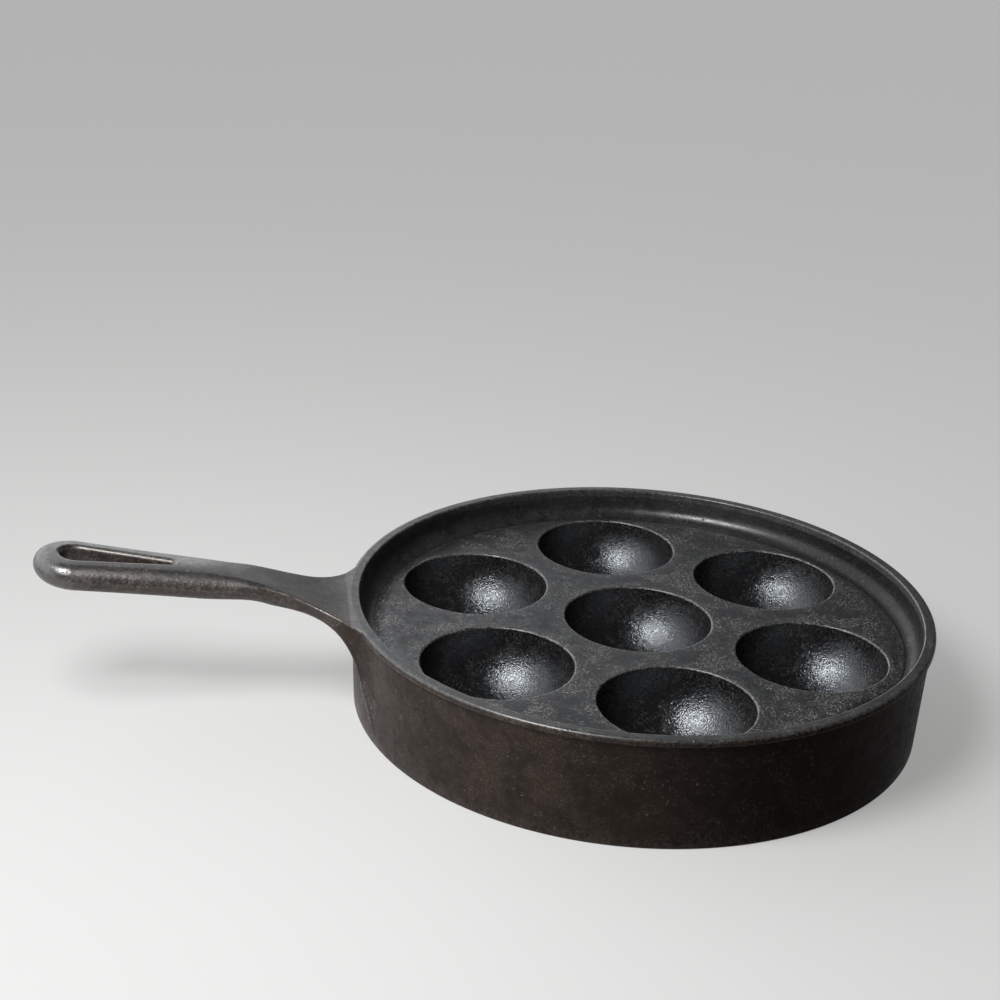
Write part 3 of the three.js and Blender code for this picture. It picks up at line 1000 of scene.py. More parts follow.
    def gradient(self, points: np.ndarray, step: float = 0.02) -> np.ndarray:
        """Direction in which the distance grows, not scaled to length 1.

        Args:
            points: Points in pan space, of shape (..., 3).
            step: How far to either side the distance is taken.

        Returns:
            Slope of the distance at each point.
        """
        parts = []
        for shift in np.eye(3) * step:
            parts.append((self.distance(points + shift) - self.distance(points - shift)) / (2.0 * step))
        return np.stack(parts, -1)


class HandleSkin:
    """Skin of the handle, drawn from its distance field."""

    LOW = np.array([-239.0, -44.0, 4.5])  # corners of the space that the grid fills
    HIGH = np.array([-106.0, 44.0, 70.0])
    SLAB = 24  # grid layers worked out at a time
    SETTLING = 4  # times that the points are moved onto the surface
    LONGEST_MOVE = 0.5  # each time, in grid steps
    LEAST_SLOPE = 1e-3
    LEAST_LIFT = 0.0015  # over the buried wall, for a point that shows
    HIDDEN_RINGS = 2  # rings of buried faces that stay, so that the border is covered

    def __init__(self, fields: HandleField, voxel: float) -> None:
        """Keeps the handle's distance field and the grid step in millimetres."""
        self.fields = fields
        self.voxel = voxel

    def grid(self) -> np.ndarray:
        """Works out the distance at every grid point, slab by slab.

        Returns:
            Distances of shape (x, y, z).
        """
        x, y, z = (np.arange(low, high, self.voxel) for low, high in zip(self.LOW, self.HIGH))
        slabs = []
        for start in range(0, len(x), self.SLAB):
            mesh = np.meshgrid(x[start : start + self.SLAB], y, z, indexing="ij")
            slabs.append(self.fields.distance(np.stack(mesh, -1)))
        return np.concatenate(slabs)

    def nets(self, values: np.ndarray) -> tuple[np.ndarray, np.ndarray]:
        """Joins the grid cells that the surface passes through into quads.

        Args:
            values: Distance at each grid point.

        Returns:
            Points in grid steps and quads, facing outward.
        """
        shape = np.array(values.shape)
        cells = shape - 1
        total = int(np.prod(cells))
        sums = np.zeros((total, 3))
        hits = np.zeros(total)
        crossings = []
        for axis in range(3):
            a, b = (np.take(values, np.arange(shape[axis] - 1) + step, axis=axis) for step in range(2))
            spots = np.argwhere((a < 0) != (b < 0))
            first = a[tuple(spots.T)]
            second = b[tuple(spots.T)]
            place = spots.astype(float)
            place[:, axis] += first / (first - second)
            sides = [k for k in range(3) if k != axis]
            inner = np.all([(spots[:, k] > 0) & (spots[:, k] < shape[k] - 1) for k in sides], axis=0)
            spots, place, first = spots[inner], place[inner], first[inner]
            around = []
            for du, dv in ((0, 0), (-1, 0), (-1, -1), (0, -1)):
                cell = spots.copy()
                cell[:, sides[0]] += du
                cell[:, sides[1]] += dv
                index = np.ravel_multi_index(cell.T, cells)
                np.add.at(sums, index, place)
                np.add.at(hits, index, 1.0)
                around.append(index)
            quads = np.stack(around, -1)
            backward = (first < 0) == (axis == 1)
            quads[backward] = quads[backward][:, ::-1]
            crossings.append(quads)
        used = np.flatnonzero(hits)
        quads = renumbering(used, total)[np.concatenate(crossings)]
        return sums[used] / hits[used, None], quads

    def build(self) -> tuple[np.ndarray, np.ndarray, np.ndarray]:
        """Makes the handle's skin.

        Returns:
            Points in pan space, quads, and the surface normals at the points.
        """
        points, quads = self.nets(self.grid())
        points = self.LOW + points * self.voxel
        longest = self.LONGEST_MOVE * self.voxel
        for _ in range(self.SETTLING):
            slope = self.fields.gradient(points)
            steep = np.maximum(np.einsum("ij,ij->i", slope, slope), self.LEAST_SLOPE)
            move = slope * (self.fields.distance(points) / steep)[:, None]
            length = np.linalg.norm(move, axis=1, keepdims=True)
            points = points - move * np.minimum(1.0, longest / np.maximum(length, TINY))
        normals = unit(self.fields.gradient(points))
        lift = self.fields.round_wall(from_axis(points), points[:, 2])
        shown = lift > self.LEAST_LIFT - self.fields.handle.seat_dip
        for _ in range(self.HIDDEN_RINGS):
            touched = shown[quads].any(axis=1)
            shown[quads[touched].ravel()] = True
        quads = quads[shown[quads].all(axis=1)]
        used = np.unique(quads)
        return points[used], renumbering(used, len(points))[quads], normals[used]


@dataclass(frozen=True)
class Pattern:
    """Fractal noise, stretched from a range of its values onto 0 to 1."""

    size: float  # of its features, in millimetres
    detail: float
    rough: float
    cut: Range = (0.0, 1.0)


class Graph:
    """Adds and links the shader nodes of one material."""

    def __init__(self, material: bpy.types.Material) -> None:
        """Clears the material's nodes.

        Args:
            material: Material that the nodes belong to.
        """
        material.use_nodes = True
        self.tree = material.node_tree
        self.tree.nodes.clear()
        self.place = self.node("ShaderNodeTexCoord").outputs["Object"]

    def node(self, kind: str, **settings: object) -> bpy.types.Node:
        """Adds a node.

        Args:
            kind: Blender's name of the node type.
            **settings: Properties of the node.

        Returns:
            The new node.
        """
        made = self.tree.nodes.new(kind)
        for name, value in settings.items():
            setattr(made, name, value)
        return made

    def put(self, socket: Socket, value: Socket | float | Colour) -> None:
        """Links an output to a socket, or sets the socket's own value.

        Args:
            socket: Input of a node.
            value: Output of another node, a number or a colour.
        """
        if isinstance(value, Socket):
            self.tree.links.new(value, socket)
        elif isinstance(value, tuple) and socket.type == "RGBA":
            socket.default_value = (*value, 1.0)
        else:
            socket.default_value = value

    def attribute(self, name: str) -> Socket:
        """A value stored at the points of the mesh."""
        return self.node("ShaderNodeAttribute", attribute_name=name).outputs["Fac"]

    def math(self, operation: str, a: Socket | float, b: Socket | float = 0.0) -> Socket:
        """One step of arithmetic on two values.

        Args:
            operation: Blender's name of the operation.
            a: First value.
            b: Second value.

        Returns:
            The result.
        """
        made = self.node("ShaderNodeMath", operation=operation)
        self.put(made.inputs[0], a)
        self.put(made.inputs[1], b)
        return made.outputs[0]

    def times(self, a: Socket | float, b: Socket | float) -> Socket:
        """Product of two values."""
        return self.math("MULTIPLY", a, b)

    def larger(self, a: Socket | float, b: Socket | float) -> Socket:
        """Larger of two values."""
        return self.math("MAXIMUM", a, b)

    def noise(self, pattern: Pattern, place: Socket | None = None) -> Socket:
        """Fractal noise that isn't stretched.

        Args:
            pattern: Size and roughness of the noise.
            place: Coordinates, if not the object's own.

        Returns:
            Values about 0.5, as the noise gives them.
        """
        made = self.node("ShaderNodeTexNoise")
        self.put(made.inputs["Vector"], place or self.place)
        self.put(made.inputs["Scale"], 1.0 / (pattern.size * MM))
        self.put(made.inputs["Detail"], pattern.detail)
        self.put(made.inputs["Roughness"], pattern.rough)
        return made.outputs["Fac"]

    def ramp(self, value: Socket, source: Range, target: Range = (0.0, 1.0)) -> Socket:
        """Stretches a range of a value onto another range, smoothly and clamped.

        Args:
            value: Value to stretch.
            source: Range that is stretched.
            target: Range that it becomes.

        Returns:
            The stretched value.
        """
        made = self.node("ShaderNodeMapRange", interpolation_type="SMOOTHSTEP", clamp=True)
        for socket, number in zip(made.inputs[:5], (value, *source, *target)):
            self.put(socket, number)
        return made.outputs["Result"]

    def pattern(self, pattern: Pattern, target: Range = (0.0, 1.0)) -> Socket:
        """Fractal noise stretched as its pattern says, onto a range."""
        return self.ramp(self.noise(pattern), pattern.cut, target)

    def from_middle(self, pattern: Pattern) -> Socket:
        """How far fractal noise is from its middle value, which draws curling lines."""
        return self.math("ABSOLUTE", self.math("SUBTRACT", self.noise(pattern), 0.5))

    def mix(self, share: Socket | float, a: Socket | Colour, b: Socket | Colour) -> Socket:
        """Blend of two colours.

        Args:
            share: Share of the second colour.
            a: First colour.
            b: Second colour.

        Returns:
            The blended colour.
        """
        made = self.node("ShaderNodeMix", data_type="RGBA")
        for name, value in (("Factor", share), ("A", a), ("B", b)):
            self.put(made.inputs[name], value)
        return made.outputs["Result"]

    def blend(self, share: Socket | float, a: Socket | float, b: Socket | float) -> Socket:
        """Blend of two numbers.

        Args:
            share: Share of the second number.
            a: First number.
            b: Second number.

        Returns:
            The blended number.
        """
        made = self.node("ShaderNodeMix", data_type="FLOAT")
        for index, value in ((0, share), (2, a), (3, b)):
            self.put(made.inputs[index], value)
        return made.outputs[0]

    def bump(self, height: Socket, depth: float, normal: Socket | None = None) -> Socket:
        """Relief from a height that runs from 0 to 1.

        Args:
            height: The height.
            depth: Depth of the relief in millimetres.
            normal: Normal that the relief is added to, if not the surface's own.

        Returns:
            The new normal.
        """
        made = self.node("ShaderNodeBump")
        self.put(made.inputs["Distance"], depth * MM)
        self.put(made.inputs["Height"], height)
        if normal is not None:
            self.put(made.inputs["Normal"], normal)
        return made.outputs["Normal"]


class IronPattern:
    """Patterns that all regions of the casting share, coarse to fine."""

    WAVES = Pattern(16.0, 2.0, 0.5)
    STAINS = Pattern(22.0, 5.0, 0.62, (0.42, 0.62))
    SPREAD = Pattern(15.0, 3.0, 0.6, (0.46, 0.62))
    CLUSTERS = Pattern(11.0, 5.0, 0.72, (0.45, 0.58))
    CRUST = Pattern(7.0, 5.0, 0.75, (0.50, 0.62))
    MOTTLE = Pattern(5.0, 6.0, 0.66, (0.36, 0.66))
    PATCHES = Pattern(4.0, 5.0, 0.7, (0.34, 0.68))
    CURLS = Pattern(3.6, 2.5, 0.65)
    SIDE_DUST = Pattern(2.2, 5.0, 0.8, (0.50, 0.62))
    SIDE_GRAIN = Pattern(2.2, 4.0, 0.7)
    BROKEN = Pattern(1.8, 5.0, 0.75, (0.40, 0.60))
    SHORT = Pattern(1.7, 3.0, 0.6, (0.56, 0.64))
    STREAKS = Pattern(1.2, 4.0, 0.6)
    POWDER = Pattern(0.9, 4.0, 0.8, (0.53, 0.60))
    SPECKS = Pattern(0.8, 3.0, 0.7, (0.44, 0.60))
    SPECK_SHARE = 0.55
    SCRATCH_WIDTH = (0.026, 0.006)  # noise values from a scratch's edge to its middle
    WAVE_DEPTH = 0.22
    PIT_SIZE = 5.0
    PIT_CUT = (0.03, 0.11)
    STREAK_STRETCH = (1.0, 1.0, 0.1)
    GRAIN_DETAIL = (4.0, 0.68)
    RIDGE_DETAIL = (1.0, 0.5)


@dataclass(frozen=True)
class Tone:
    """Colours and gloss of one kind of surface."""

    dark: Colour
    light: Colour
    tint: Colour  # broad stains
    tint_share: float
    roughness: Range
    specular: float
    # tint of the reflections; the outside's warm tint is a painted reflection and the wells' blue tint a
    # painted highlight colour
    gloss: Colour = (1.0, 1.0, 1.0)


# Painted shade: on the side away from the key lamp the outside, and part of the inside, is darkened towards
# this colour and reflects less.
PAINTED_SHADE_COLOUR: Colour = (0.005, 0.0036, 0.0032)
PAINTED_SHADE_COVER = 0.72
PAINTED_SHADE_SPECULAR = 0.02
PLAIN_MIRROR = 0.2  # mirror strength of an index of 1.5, before it is squared

OUTSIDE = Tone(
    dark=(0.012, 0.0082, 0.0066),
    light=(0.027, 0.0194, 0.0158),
    tint=(0.044, 0.0305, 0.0232),
    tint_share=0.6,
    roughness=(0.38, 0.52),
    specular=0.21,
    # painted reflection: warms the outside's reflections to a brown tint
    gloss=(1.0, 0.84, 0.72),
)


@dataclass(frozen=True)
class IronFinish:
    """Seasoned iron of one region: tones, relief and wear. Sizes are in millimetres."""

    name: str
    tone: Tone
    outer: Tone | None = None  # what it turns into towards the outside of the wall
    worn: Colour = (0.16, 0.15, 0.14)
    edge_wear: float = 0.3
    polish: float = 0.35
    dust: float = 0.5
    flecks: float = 0.5
    pit_depth: float = 0.12
    inner_painted_shade: float = 0.0  # share of the painted shade that also lies on the inside
    ior: float = 1.5
    grain_size: float = 0.8
    grain_depth: float = 0.04
    ridge_size: float = 0.8
    ridge_depth: float = 0.0
    streak_depth: float = 0.0
    crust: float = 0.0
    side_grain: float = 0.0
    side_dust: float = 0.0

    def body(self, g: Graph, tone: Tone) -> Socket:
        """Mottled colour of a tone, from broad stains to fine specks.

        Args:
            g: Nodes of the material.
            tone: Tone that is mottled.

        Returns:
            The colour.
        """
        colour = g.mix(g.pattern(IronPattern.MOTTLE), tone.dark, tone.light)
        colour = g.mix(g.pattern(IronPattern.STAINS, (0.0, tone.tint_share)), colour, tone.tint)
        return g.mix(g.pattern(IronPattern.SPECKS, (0.0, IronPattern.SPECK_SHARE)), colour, tone.dark)

    def marks(self, g: Graph) -> Socket:
        """Where pale dust lies and where short scratches run.

        Args:
            g: Nodes of the material.

        Returns:
            A share from 0 to 1.
        """
        near = g.larger(g.pattern(IronPattern.CLUSTERS), g.attribute("near"))
        dusty = g.times(g.times(g.pattern(IronPattern.POWDER), near), self.dust)
        if self.side_dust > 0.0:
            coarse = g.pattern(IronPattern.SIDE_DUST, (0.0, self.side_dust))
            dusty = g.larger(dusty, g.times(coarse, g.attribute("side")))
        where = g.times(g.pattern(IronPattern.SHORT), g.pattern(IronPattern.SPREAD))
        line = g.times(g.ramp(g.from_middle(IronPattern.CURLS), IronPattern.SCRATCH_WIDTH), where)
        return g.larger(dusty, g.times(line, self.flecks))

    def relief(self, g: Graph) -> Socket:
        """Waves, pits, streaks, a worm-like cast skin and grain, coarse to fine.

        Args:
            g: Nodes of the material.

        Returns:
            The normal.
        """
        normal = g.bump(g.noise(IronPattern.WAVES), IronPattern.WAVE_DEPTH)
        cells = g.node("ShaderNodeTexVoronoi")
        g.put(cells.inputs["Vector"], g.place)
        g.put(cells.inputs["Scale"], 1.0 / (IronPattern.PIT_SIZE * MM))
        normal = g.bump(g.ramp(cells.outputs["Distance"], IronPattern.PIT_CUT), self.pit_depth, normal)
        if self.streak_depth > 0.0:
            stretched = g.node("ShaderNodeMapping")
            g.put(stretched.inputs["Vector"], g.place)
            stretched.inputs["Scale"].default_value = IronPattern.STREAK_STRETCH
            lines = g.noise(IronPattern.STREAKS, stretched.outputs["Vector"])
            normal = g.bump(lines, self.streak_depth, normal)
        if self.side_grain > 0.0:
            rough = g.times(g.noise(IronPattern.SIDE_GRAIN), g.attribute("side"))
            normal = g.bump(rough, self.side_grain, normal)
        if self.ridge_depth > 0.0:
            worm = g.from_middle(Pattern(self.ridge_size, *IronPattern.RIDGE_DETAIL))
            normal = g.bump(worm, self.ridge_depth, normal)
        grain = g.noise(Pattern(self.grain_size, *IronPattern.GRAIN_DETAIL))
        return g.bump(grain, self.grain_depth, normal)

    def make(self) -> bpy.types.Material:
        """Builds the node material.

        Returns:
            The material.
        """
        material = bpy.data.materials.new(self.name)
        g = Graph(material)
        shader = g.node("ShaderNodeBsdfPrincipled")
        output = g.node("ShaderNodeOutputMaterial")
        g.tree.links.new(shader.outputs[0], output.inputs["Surface"])
        wear = g.attribute("wear")
        cut = IronPattern.PATCHES.cut
        patches = g.noise(IronPattern.PATCHES)
        colour = self.body(g, self.tone)
        gloss = g.ramp(patches, cut, self.tone.roughness)
        if self.outer is None:
            shader.inputs["Specular IOR Level"].default_value = self.tone.specular
            shader.inputs["Specular Tint"].default_value = (*self.tone.gloss, 1.0)
        else:
            outside = g.attribute("outer")
            # Painted shade: darker colour and weaker reflections on the side away from the key lamp.
            painted_shade = g.attribute("painted_shade")
            inner_painted_shade = g.times(painted_shade, self.inner_painted_shade)
            cover = g.blend(outside, inner_painted_shade, g.times(painted_shade, PAINTED_SHADE_COVER))
            colour = g.mix(cover, g.mix(outside, colour, self.body(g, self.outer)), PAINTED_SHADE_COLOUR)
            gloss = g.blend(outside, gloss, g.ramp(patches, cut, self.outer.roughness))
            same_gloss = (PLAIN_MIRROR * (self.ior + 1.0) / (self.ior - 1.0)) ** 2
            inner_sheen = g.blend(inner_painted_shade, self.tone.specular, PAINTED_SHADE_SPECULAR)
            sheen = g.blend(painted_shade, self.outer.specular * same_gloss, PAINTED_SHADE_SPECULAR * same_gloss)
            g.put(shader.inputs["Specular IOR Level"], g.blend(outside, inner_sheen, sheen))
            g.put(shader.inputs["Specular Tint"], g.mix(outside, self.tone.gloss, self.outer.gloss))
        rubbed = g.times(g.times(wear, g.pattern(IronPattern.BROKEN)), self.edge_wear)
        g.put(shader.inputs["Base Color"], g.mix(g.larger(self.marks(g), rubbed), colour, self.worn))
        if self.crust > 0.0:
            gloss = g.math("ADD", gloss, g.pattern(IronPattern.CRUST, (0.0, self.crust)))
        shader.inputs["IOR"].default_value = self.ior
        smoothing = g.math("ADD", g.times(wear, -self.polish), 1.0)
        g.put(shader.inputs["Roughness"], g.times(gloss, smoothing))
        g.put(shader.inputs["Normal"], self.relief(g))
        return material


FINISHES = {
    Slot.DECK: IronFinish(
        "deck_iron",
        Tone(
            dark=(0.0025, 0.0025, 0.0028),
            light=(0.010, 0.010, 0.0112),
            tint=(0.018, 0.0165, 0.0155),
            tint_share=0.5,
            roughness=(0.36, 0.52),
            specular=0.68,
        ),
        worn=(0.28, 0.27, 0.25),
        edge_wear=0.5,
        dust=0.8,
        flecks=0.9,
        grain_size=0.7,
        ridge_depth=0.05,
    ),
    Slot.WELL: IronFinish(
        "well_iron",
        Tone(
            dark=(0.0015, 0.0015, 0.0018),
            light=(0.0045, 0.0042, 0.0042),
            tint=(0.008, 0.0068, 0.006),
            tint_share=0.5,
            roughness=(0.20, 0.27),
            specular=1.0,
            # painted highlight colour: tints the wells' highlights blue
            gloss=(0.92, 0.96, 1.0),
        ),
        worn=(0.13, 0.12, 0.11),
        edge_wear=0.4,
        dust=0.4,
        pit_depth=0.03,
        grain_size=0.6,
        ridge_size=1.0,
        ridge_depth=0.33,
        crust=0.11,
    ),
    Slot.WALL: IronFinish(
        "wall_iron",
        Tone(
            dark=(0.008, 0.008, 0.009),
            light=(0.022, 0.021, 0.022),
            tint=(0.032, 0.029, 0.028),
            tint_share=0.5,
            roughness=(0.26, 0.38),
            specular=0.75,
        ),
        OUTSIDE,
        worn=(0.18, 0.165, 0.15),
        edge_wear=0.25,
        dust=0.18,
        grain_size=1.0,
        grain_depth=0.05,
        ridge_depth=0.04,
        streak_depth=0.03,
        # painted shade on the inside of the wall, on the side away from the key lamp
        inner_painted_shade=0.7,
    ),
    Slot.RIM: IronFinish(
        "rim_iron",
        Tone(
            dark=(0.014, 0.014, 0.014),
            light=(0.034, 0.033, 0.033),
            tint=(0.046, 0.042, 0.039),
            tint_share=0.5,
            roughness=(0.34, 0.46),
            specular=0.7,
        ),
        OUTSIDE,
        worn=(0.20, 0.19, 0.175),
        edge_wear=0.35,
        flecks=0.6,
        ridge_depth=0.04,
    ),
    Slot.HANDLE: IronFinish(
        "handle_iron",
        Tone(
            dark=(0.011, 0.010, 0.010),
            light=(0.025, 0.023, 0.022),
            tint=(0.036, 0.030, 0.027),
            tint_share=0.6,
            roughness=(0.29, 0.40),
            specular=0.50,
            gloss=(1.0, 0.97, 0.95),
        ),
        OUTSIDE,
        worn=(0.24, 0.22, 0.20),
        edge_wear=0.45,
        polish=0.22,
        dust=0.45,
        flecks=0.6,
        side_grain=0.4,
        side_dust=0.32,
        ior=2.0,
        ridge_depth=0.04,
    ),
}


class Casting:
    """Turns skins into named pieces that share normals and marks across their borders."""

    EDGE_BEND = 0.6  # bend of a fully worn edge, in 1/mm
    NEAR_REACH = 2.6  # dust fades over this length from a lip or the cove's foot
    NEAR_DEPTH = 8.0  # and over this length down a well
    FAR_SIDE = (0.6, 0.8)  # direction in which more dust lies in the gutter
    FAR_REACH = 5.0
    GUTTER_SHIFT = 1.0  # dust is thickest this far outside the cove's foot
    DUSTY_DEPTH = 30.0  # wells hold dust down to here, under the deck
    OUTER_SLOPE = (0.72, 0.4)  # upward part of a normal at which the outside begins, and its fade
    OUTER_EDGE = 2.0  # the outside fades in over this length of the rim
    INWARD_LIMIT = -0.2  # normals that point further inward belong to the inside
    # direction and fade of the painted shade on the side away from the key lamp
    SHADED_SIDE = (0.75, -0.35)
    SHADED_FADE = (0.25, 0.9)
    SIDE_SLOPE = (0.80, 0.5)
    SIDE_END = (6.0, 14.0)  # the sides' finish ends past the round end's centre, and its fade
    SIDE_START = (18.0, 14.0)  # it begins inside the neck
    SIDE_SHARE = 0.6  # of the outside's finish on the handle's sides
    WALL_REACH = (18.0, 16.0)  # the outside's finish ends this far from the wall
    SLOT_SHARE = 0.4
    SLOT_EDGE = (0.1, 0.6)
    SLOT_CLEARANCE = 3.0  # the sides' finish keeps this far from the slot
    LIP_WEAR = (0.4, 0.9)  # height of the rubbed line along the slot's lip, and its reach
    HEEL_WIDTH = 0.4  # dust in the corner between root and wall
    HEEL_TOP = 40.0
    FLANK_FADE = (-0.1, 9.0)  # distance to the flanks past which that dust fades, and how strongly
    RUBBED_LEVEL = 0.5  # least upward part of a normal in the rubbed patch

    def __init__(self, sizes: PanSizes) -> None:
        """Makes the materials for a pan of these sizes."""
        self.sizes = sizes
        self.materials = {slot: finish.make() for slot, finish in FINISHES.items()}

    def near_edges(self, points: np.ndarray) -> np.ndarray:
        """Works out how near points are to a well's mouth or to the foot of the cove.

        Args:
            points: Points in pan space.

        Returns:
            A share from 0 to 1 for each point.
        """
        s = self.sizes
        radius = from_axis(points)
        lip = np.abs(s.well_distance(points) - s.well_radius) / self.NEAR_REACH
        below = np.maximum(s.deck_top - points[:, 2], 0.0)
        lip = np.where(below > s.lip_round, below / self.NEAR_DEPTH, lip)
        far_side = smoothstep(points[:, :2] @ self.FAR_SIDE / np.maximum(radius, 1.0))
        reach = self.NEAR_REACH * (1.0 + self.FAR_REACH * far_side)
        gutter = np.abs(radius - s.cove_foot_radius - self.GUTTER_SHIFT) / reach
        above = points[:, 2] > s.deck_underside - self.DUSTY_DEPTH * (radius < s.deck_flat_radius)
        return np.exp(-np.minimum(lip, gutter)) * above

    def outside(self, points: np.ndarray, normals: np.ndarray) -> np.ndarray:
        """Works out how far points belong to the outside of the wall.

        Args:
            points: Points in pan space.
            normals: Unit normal at each point.

        Returns:
            A share from 0 to 1 for each point.
        """
        radius = from_axis(points)
        away = (points[:, 0] * normals[:, 0] + points[:, 1] * normals[:, 1]) / np.maximum(radius, 1.0)
        steep = smoothstep((self.OUTER_SLOPE[0] - normals[:, 2]) / self.OUTER_SLOPE[1])
        beyond = smoothstep((radius - self.sizes.mouth_inner_radius) / self.OUTER_EDGE + 1.0)
        body = steep * beyond * (away > self.INWARD_LIMIT)
        return np.where(points[:, 2] < self.sizes.deck_underside, 1.0, body)

    def painted_shade(self, points: np.ndarray) -> np.ndarray:
        """How strongly the outside is darkened as painted shade, from 0 by the handle to 1 on the side away
        from the key lamp.
        """
        towards = points[:, :2] @ self.SHADED_SIDE / np.maximum(from_axis(points), TINY)
        return smoothstep((towards + self.SHADED_FADE[0]) / self.SHADED_FADE[1])

    def edge_wear(self, points: np.ndarray, faces: np.ndarray, normals: np.ndarray) -> np.ndarray:
        """How worn each point is, from 0 to 1, by how sharply the surface bends there."""
        return np.clip(bend_of(points, normals, faces) / self.EDGE_BEND, 0.0, 1.0)

    def marks_of_body(self, points: np.ndarray, faces: np.ndarray, normals: np.ndarray) -> Marks:
        """Works out the shader attributes of the round body.

        Args:
            points: Points in pan space.
            faces: Faces, triangles ending in NO_CORNER.
            normals: Unit normal at each point.

        Returns:
            A value for each point, by the attribute's name.
        """
        return {
            "wear": self.edge_wear(points, faces, normals),
            "near": self.near_edges(points),
            "side": np.zeros(len(points)),
            "outer": self.outside(points, normals),
            # painted shade on the side away from the key lamp
            "painted_shade": self.painted_shade(points),
        }

    def marks_of_handle(
        self, fields: HandleField, points: np.ndarray, faces: np.ndarray, normals: np.ndarray
    ) -> Marks:
        """Works out the shader attributes of the handle.

        Args:
            fields: Distance field of the handle.
            points: Points in pan space.
            faces: Quads.
            normals: Unit normal at each point.

        Returns:
            A value for each point, by the attribute's name.
        """
        h = fields.handle
        reach, across, height = -points[:, 0], points[:, 1], points[:, 2]
        steep = smoothstep((self.SIDE_SLOPE[0] - normals[:, 2]) / self.SIDE_SLOPE[1])
        before_end = smoothstep((fields.end_centre + self.SIDE_END[0] - reach) / self.SIDE_END[1])
        past_root = smoothstep((reach - fields.neck_reach + self.SIDE_START[0]) / self.SIDE_START[1])
        wall = fields.round_wall(np.hypot(reach, across), height)
        by_wall = smoothstep((self.WALL_REACH[0] - wall) / self.WALL_REACH[1])
        slot = fields.slot(reach, across, np.zeros_like(reach))
        in_slot = smoothstep((h.lip_width - self.SLOT_EDGE[0] - slot) / self.SLOT_EDGE[1])
        below = fields.top_at(reach, across) - height
        lip_edge = hump((below - h.lip_depth) / self.LIP_WEAR[0]) * (slot < self.LIP_WEAR[1])
        along = (reach - self.sizes.mouth_radius - h.worn_spot[0]) / h.worn_stretch
        apart = np.hypot(along, across - h.worn_spot[1]) / h.worn_reach
        rubbed = hump(apart) * (normals[:, 2] > self.RUBBED_LEVEL)
        heel = np.abs(fields.bar(reach, across, height) - wall) / self.HEEL_WIDTH
        heel += np.maximum(height - self.HEEL_TOP, 0.0)
        heel += self.FLANK_FADE[1] * (fields.flank(reach, across, height) > self.FLANK_FADE[0])
        wear = np.maximum(self.edge_wear(points, faces, normals), lip_edge)
        outer = np.maximum(steep * by_wall, self.SIDE_SHARE * steep * before_end)
        return {
            "wear": np.maximum(wear, rubbed),
            "near": np.exp(-heel),
            "side": steep * before_end * past_root * (slot > self.SLOT_CLEARANCE),
            "outer": np.maximum(outer, self.SLOT_SHARE * in_slot),
            # painted shade on the side away from the key lamp
            "painted_shade": self.painted_shade(points),
        }

    def piece(
        self, region: Region, points: np.ndarray, faces: np.ndarray, normals: np.ndarray, marks: Marks
    ) -> None:
        """Makes the object of one region from its faces of a larger skin.

        Args:
            region: Region that the piece stands for.
            points: All points of the skin, in pan space.
            faces: The region's faces, triangles ending in NO_CORNER.
            normals: Normals at all points.
            marks: Shader attributes at all points, by name.
        """
        name, node, slot = region.value
        used = np.unique(faces[faces >= 0])
        number = renumbering(used, len(points))
        place = (points[used] + np.array([PAN_AXIS_X, 0.0, 0.0])) * MM
        mesh = bpy.data.meshes.new(name)
        corners = [[int(number[c]) for c in face if c >= 0] for face in faces]
        mesh.from_pydata(place.tolist(), [], corners)
        mesh.polygons.foreach_set("use_smooth", np.ones(len(corners), dtype=bool))
        for label, values in marks.items():
            layer = mesh.attributes.new(label, "FLOAT", "POINT")
            layer.data.foreach_set("value", values[used].astype(np.float32))
        mesh.materials.append(self.materials[slot])
        mesh.update()
        mesh.normals_split_custom_set_from_vertices(normals[used].tolist())
        made = add_object(name, mesh)
        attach(made, "root")
        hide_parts(node)
        log.info("%s: %d faces for %s", name, len(corners), node)

    def round_body(self) -> None:
        """Makes every region of the round body."""
        points, faces, regions = RoundBody(self.sizes).build().welded()
        normals = vertex_normals(points, faces)
        marks = self.marks_of_body(points, faces, normals)
        for index, region in enumerate(Region):
            chosen = faces[regions == index]
            if len(chosen):
                self.piece(region, points, chosen, normals, marks)

    def handle(self, handle: HandleSizes, voxel: float) -> None:
        """Makes the handle's root and grip.

        Args:
            handle: Sizes of the handle.
            voxel: Grid step of its skin in millimetres.
        """
        fields = HandleField(self.sizes, handle)
        points, quads, normals = HandleSkin(fields, voxel).build()
        marks = self.marks_of_handle(fields, points, quads, normals)
        in_root = -points[quads].mean(axis=1)[:, 0] < fields.neck_reach
        self.piece(Region.ROOT, points, quads[in_root], normals, marks)
        self.piece(Region.GRIP, points, quads[~in_root], normals, marks)


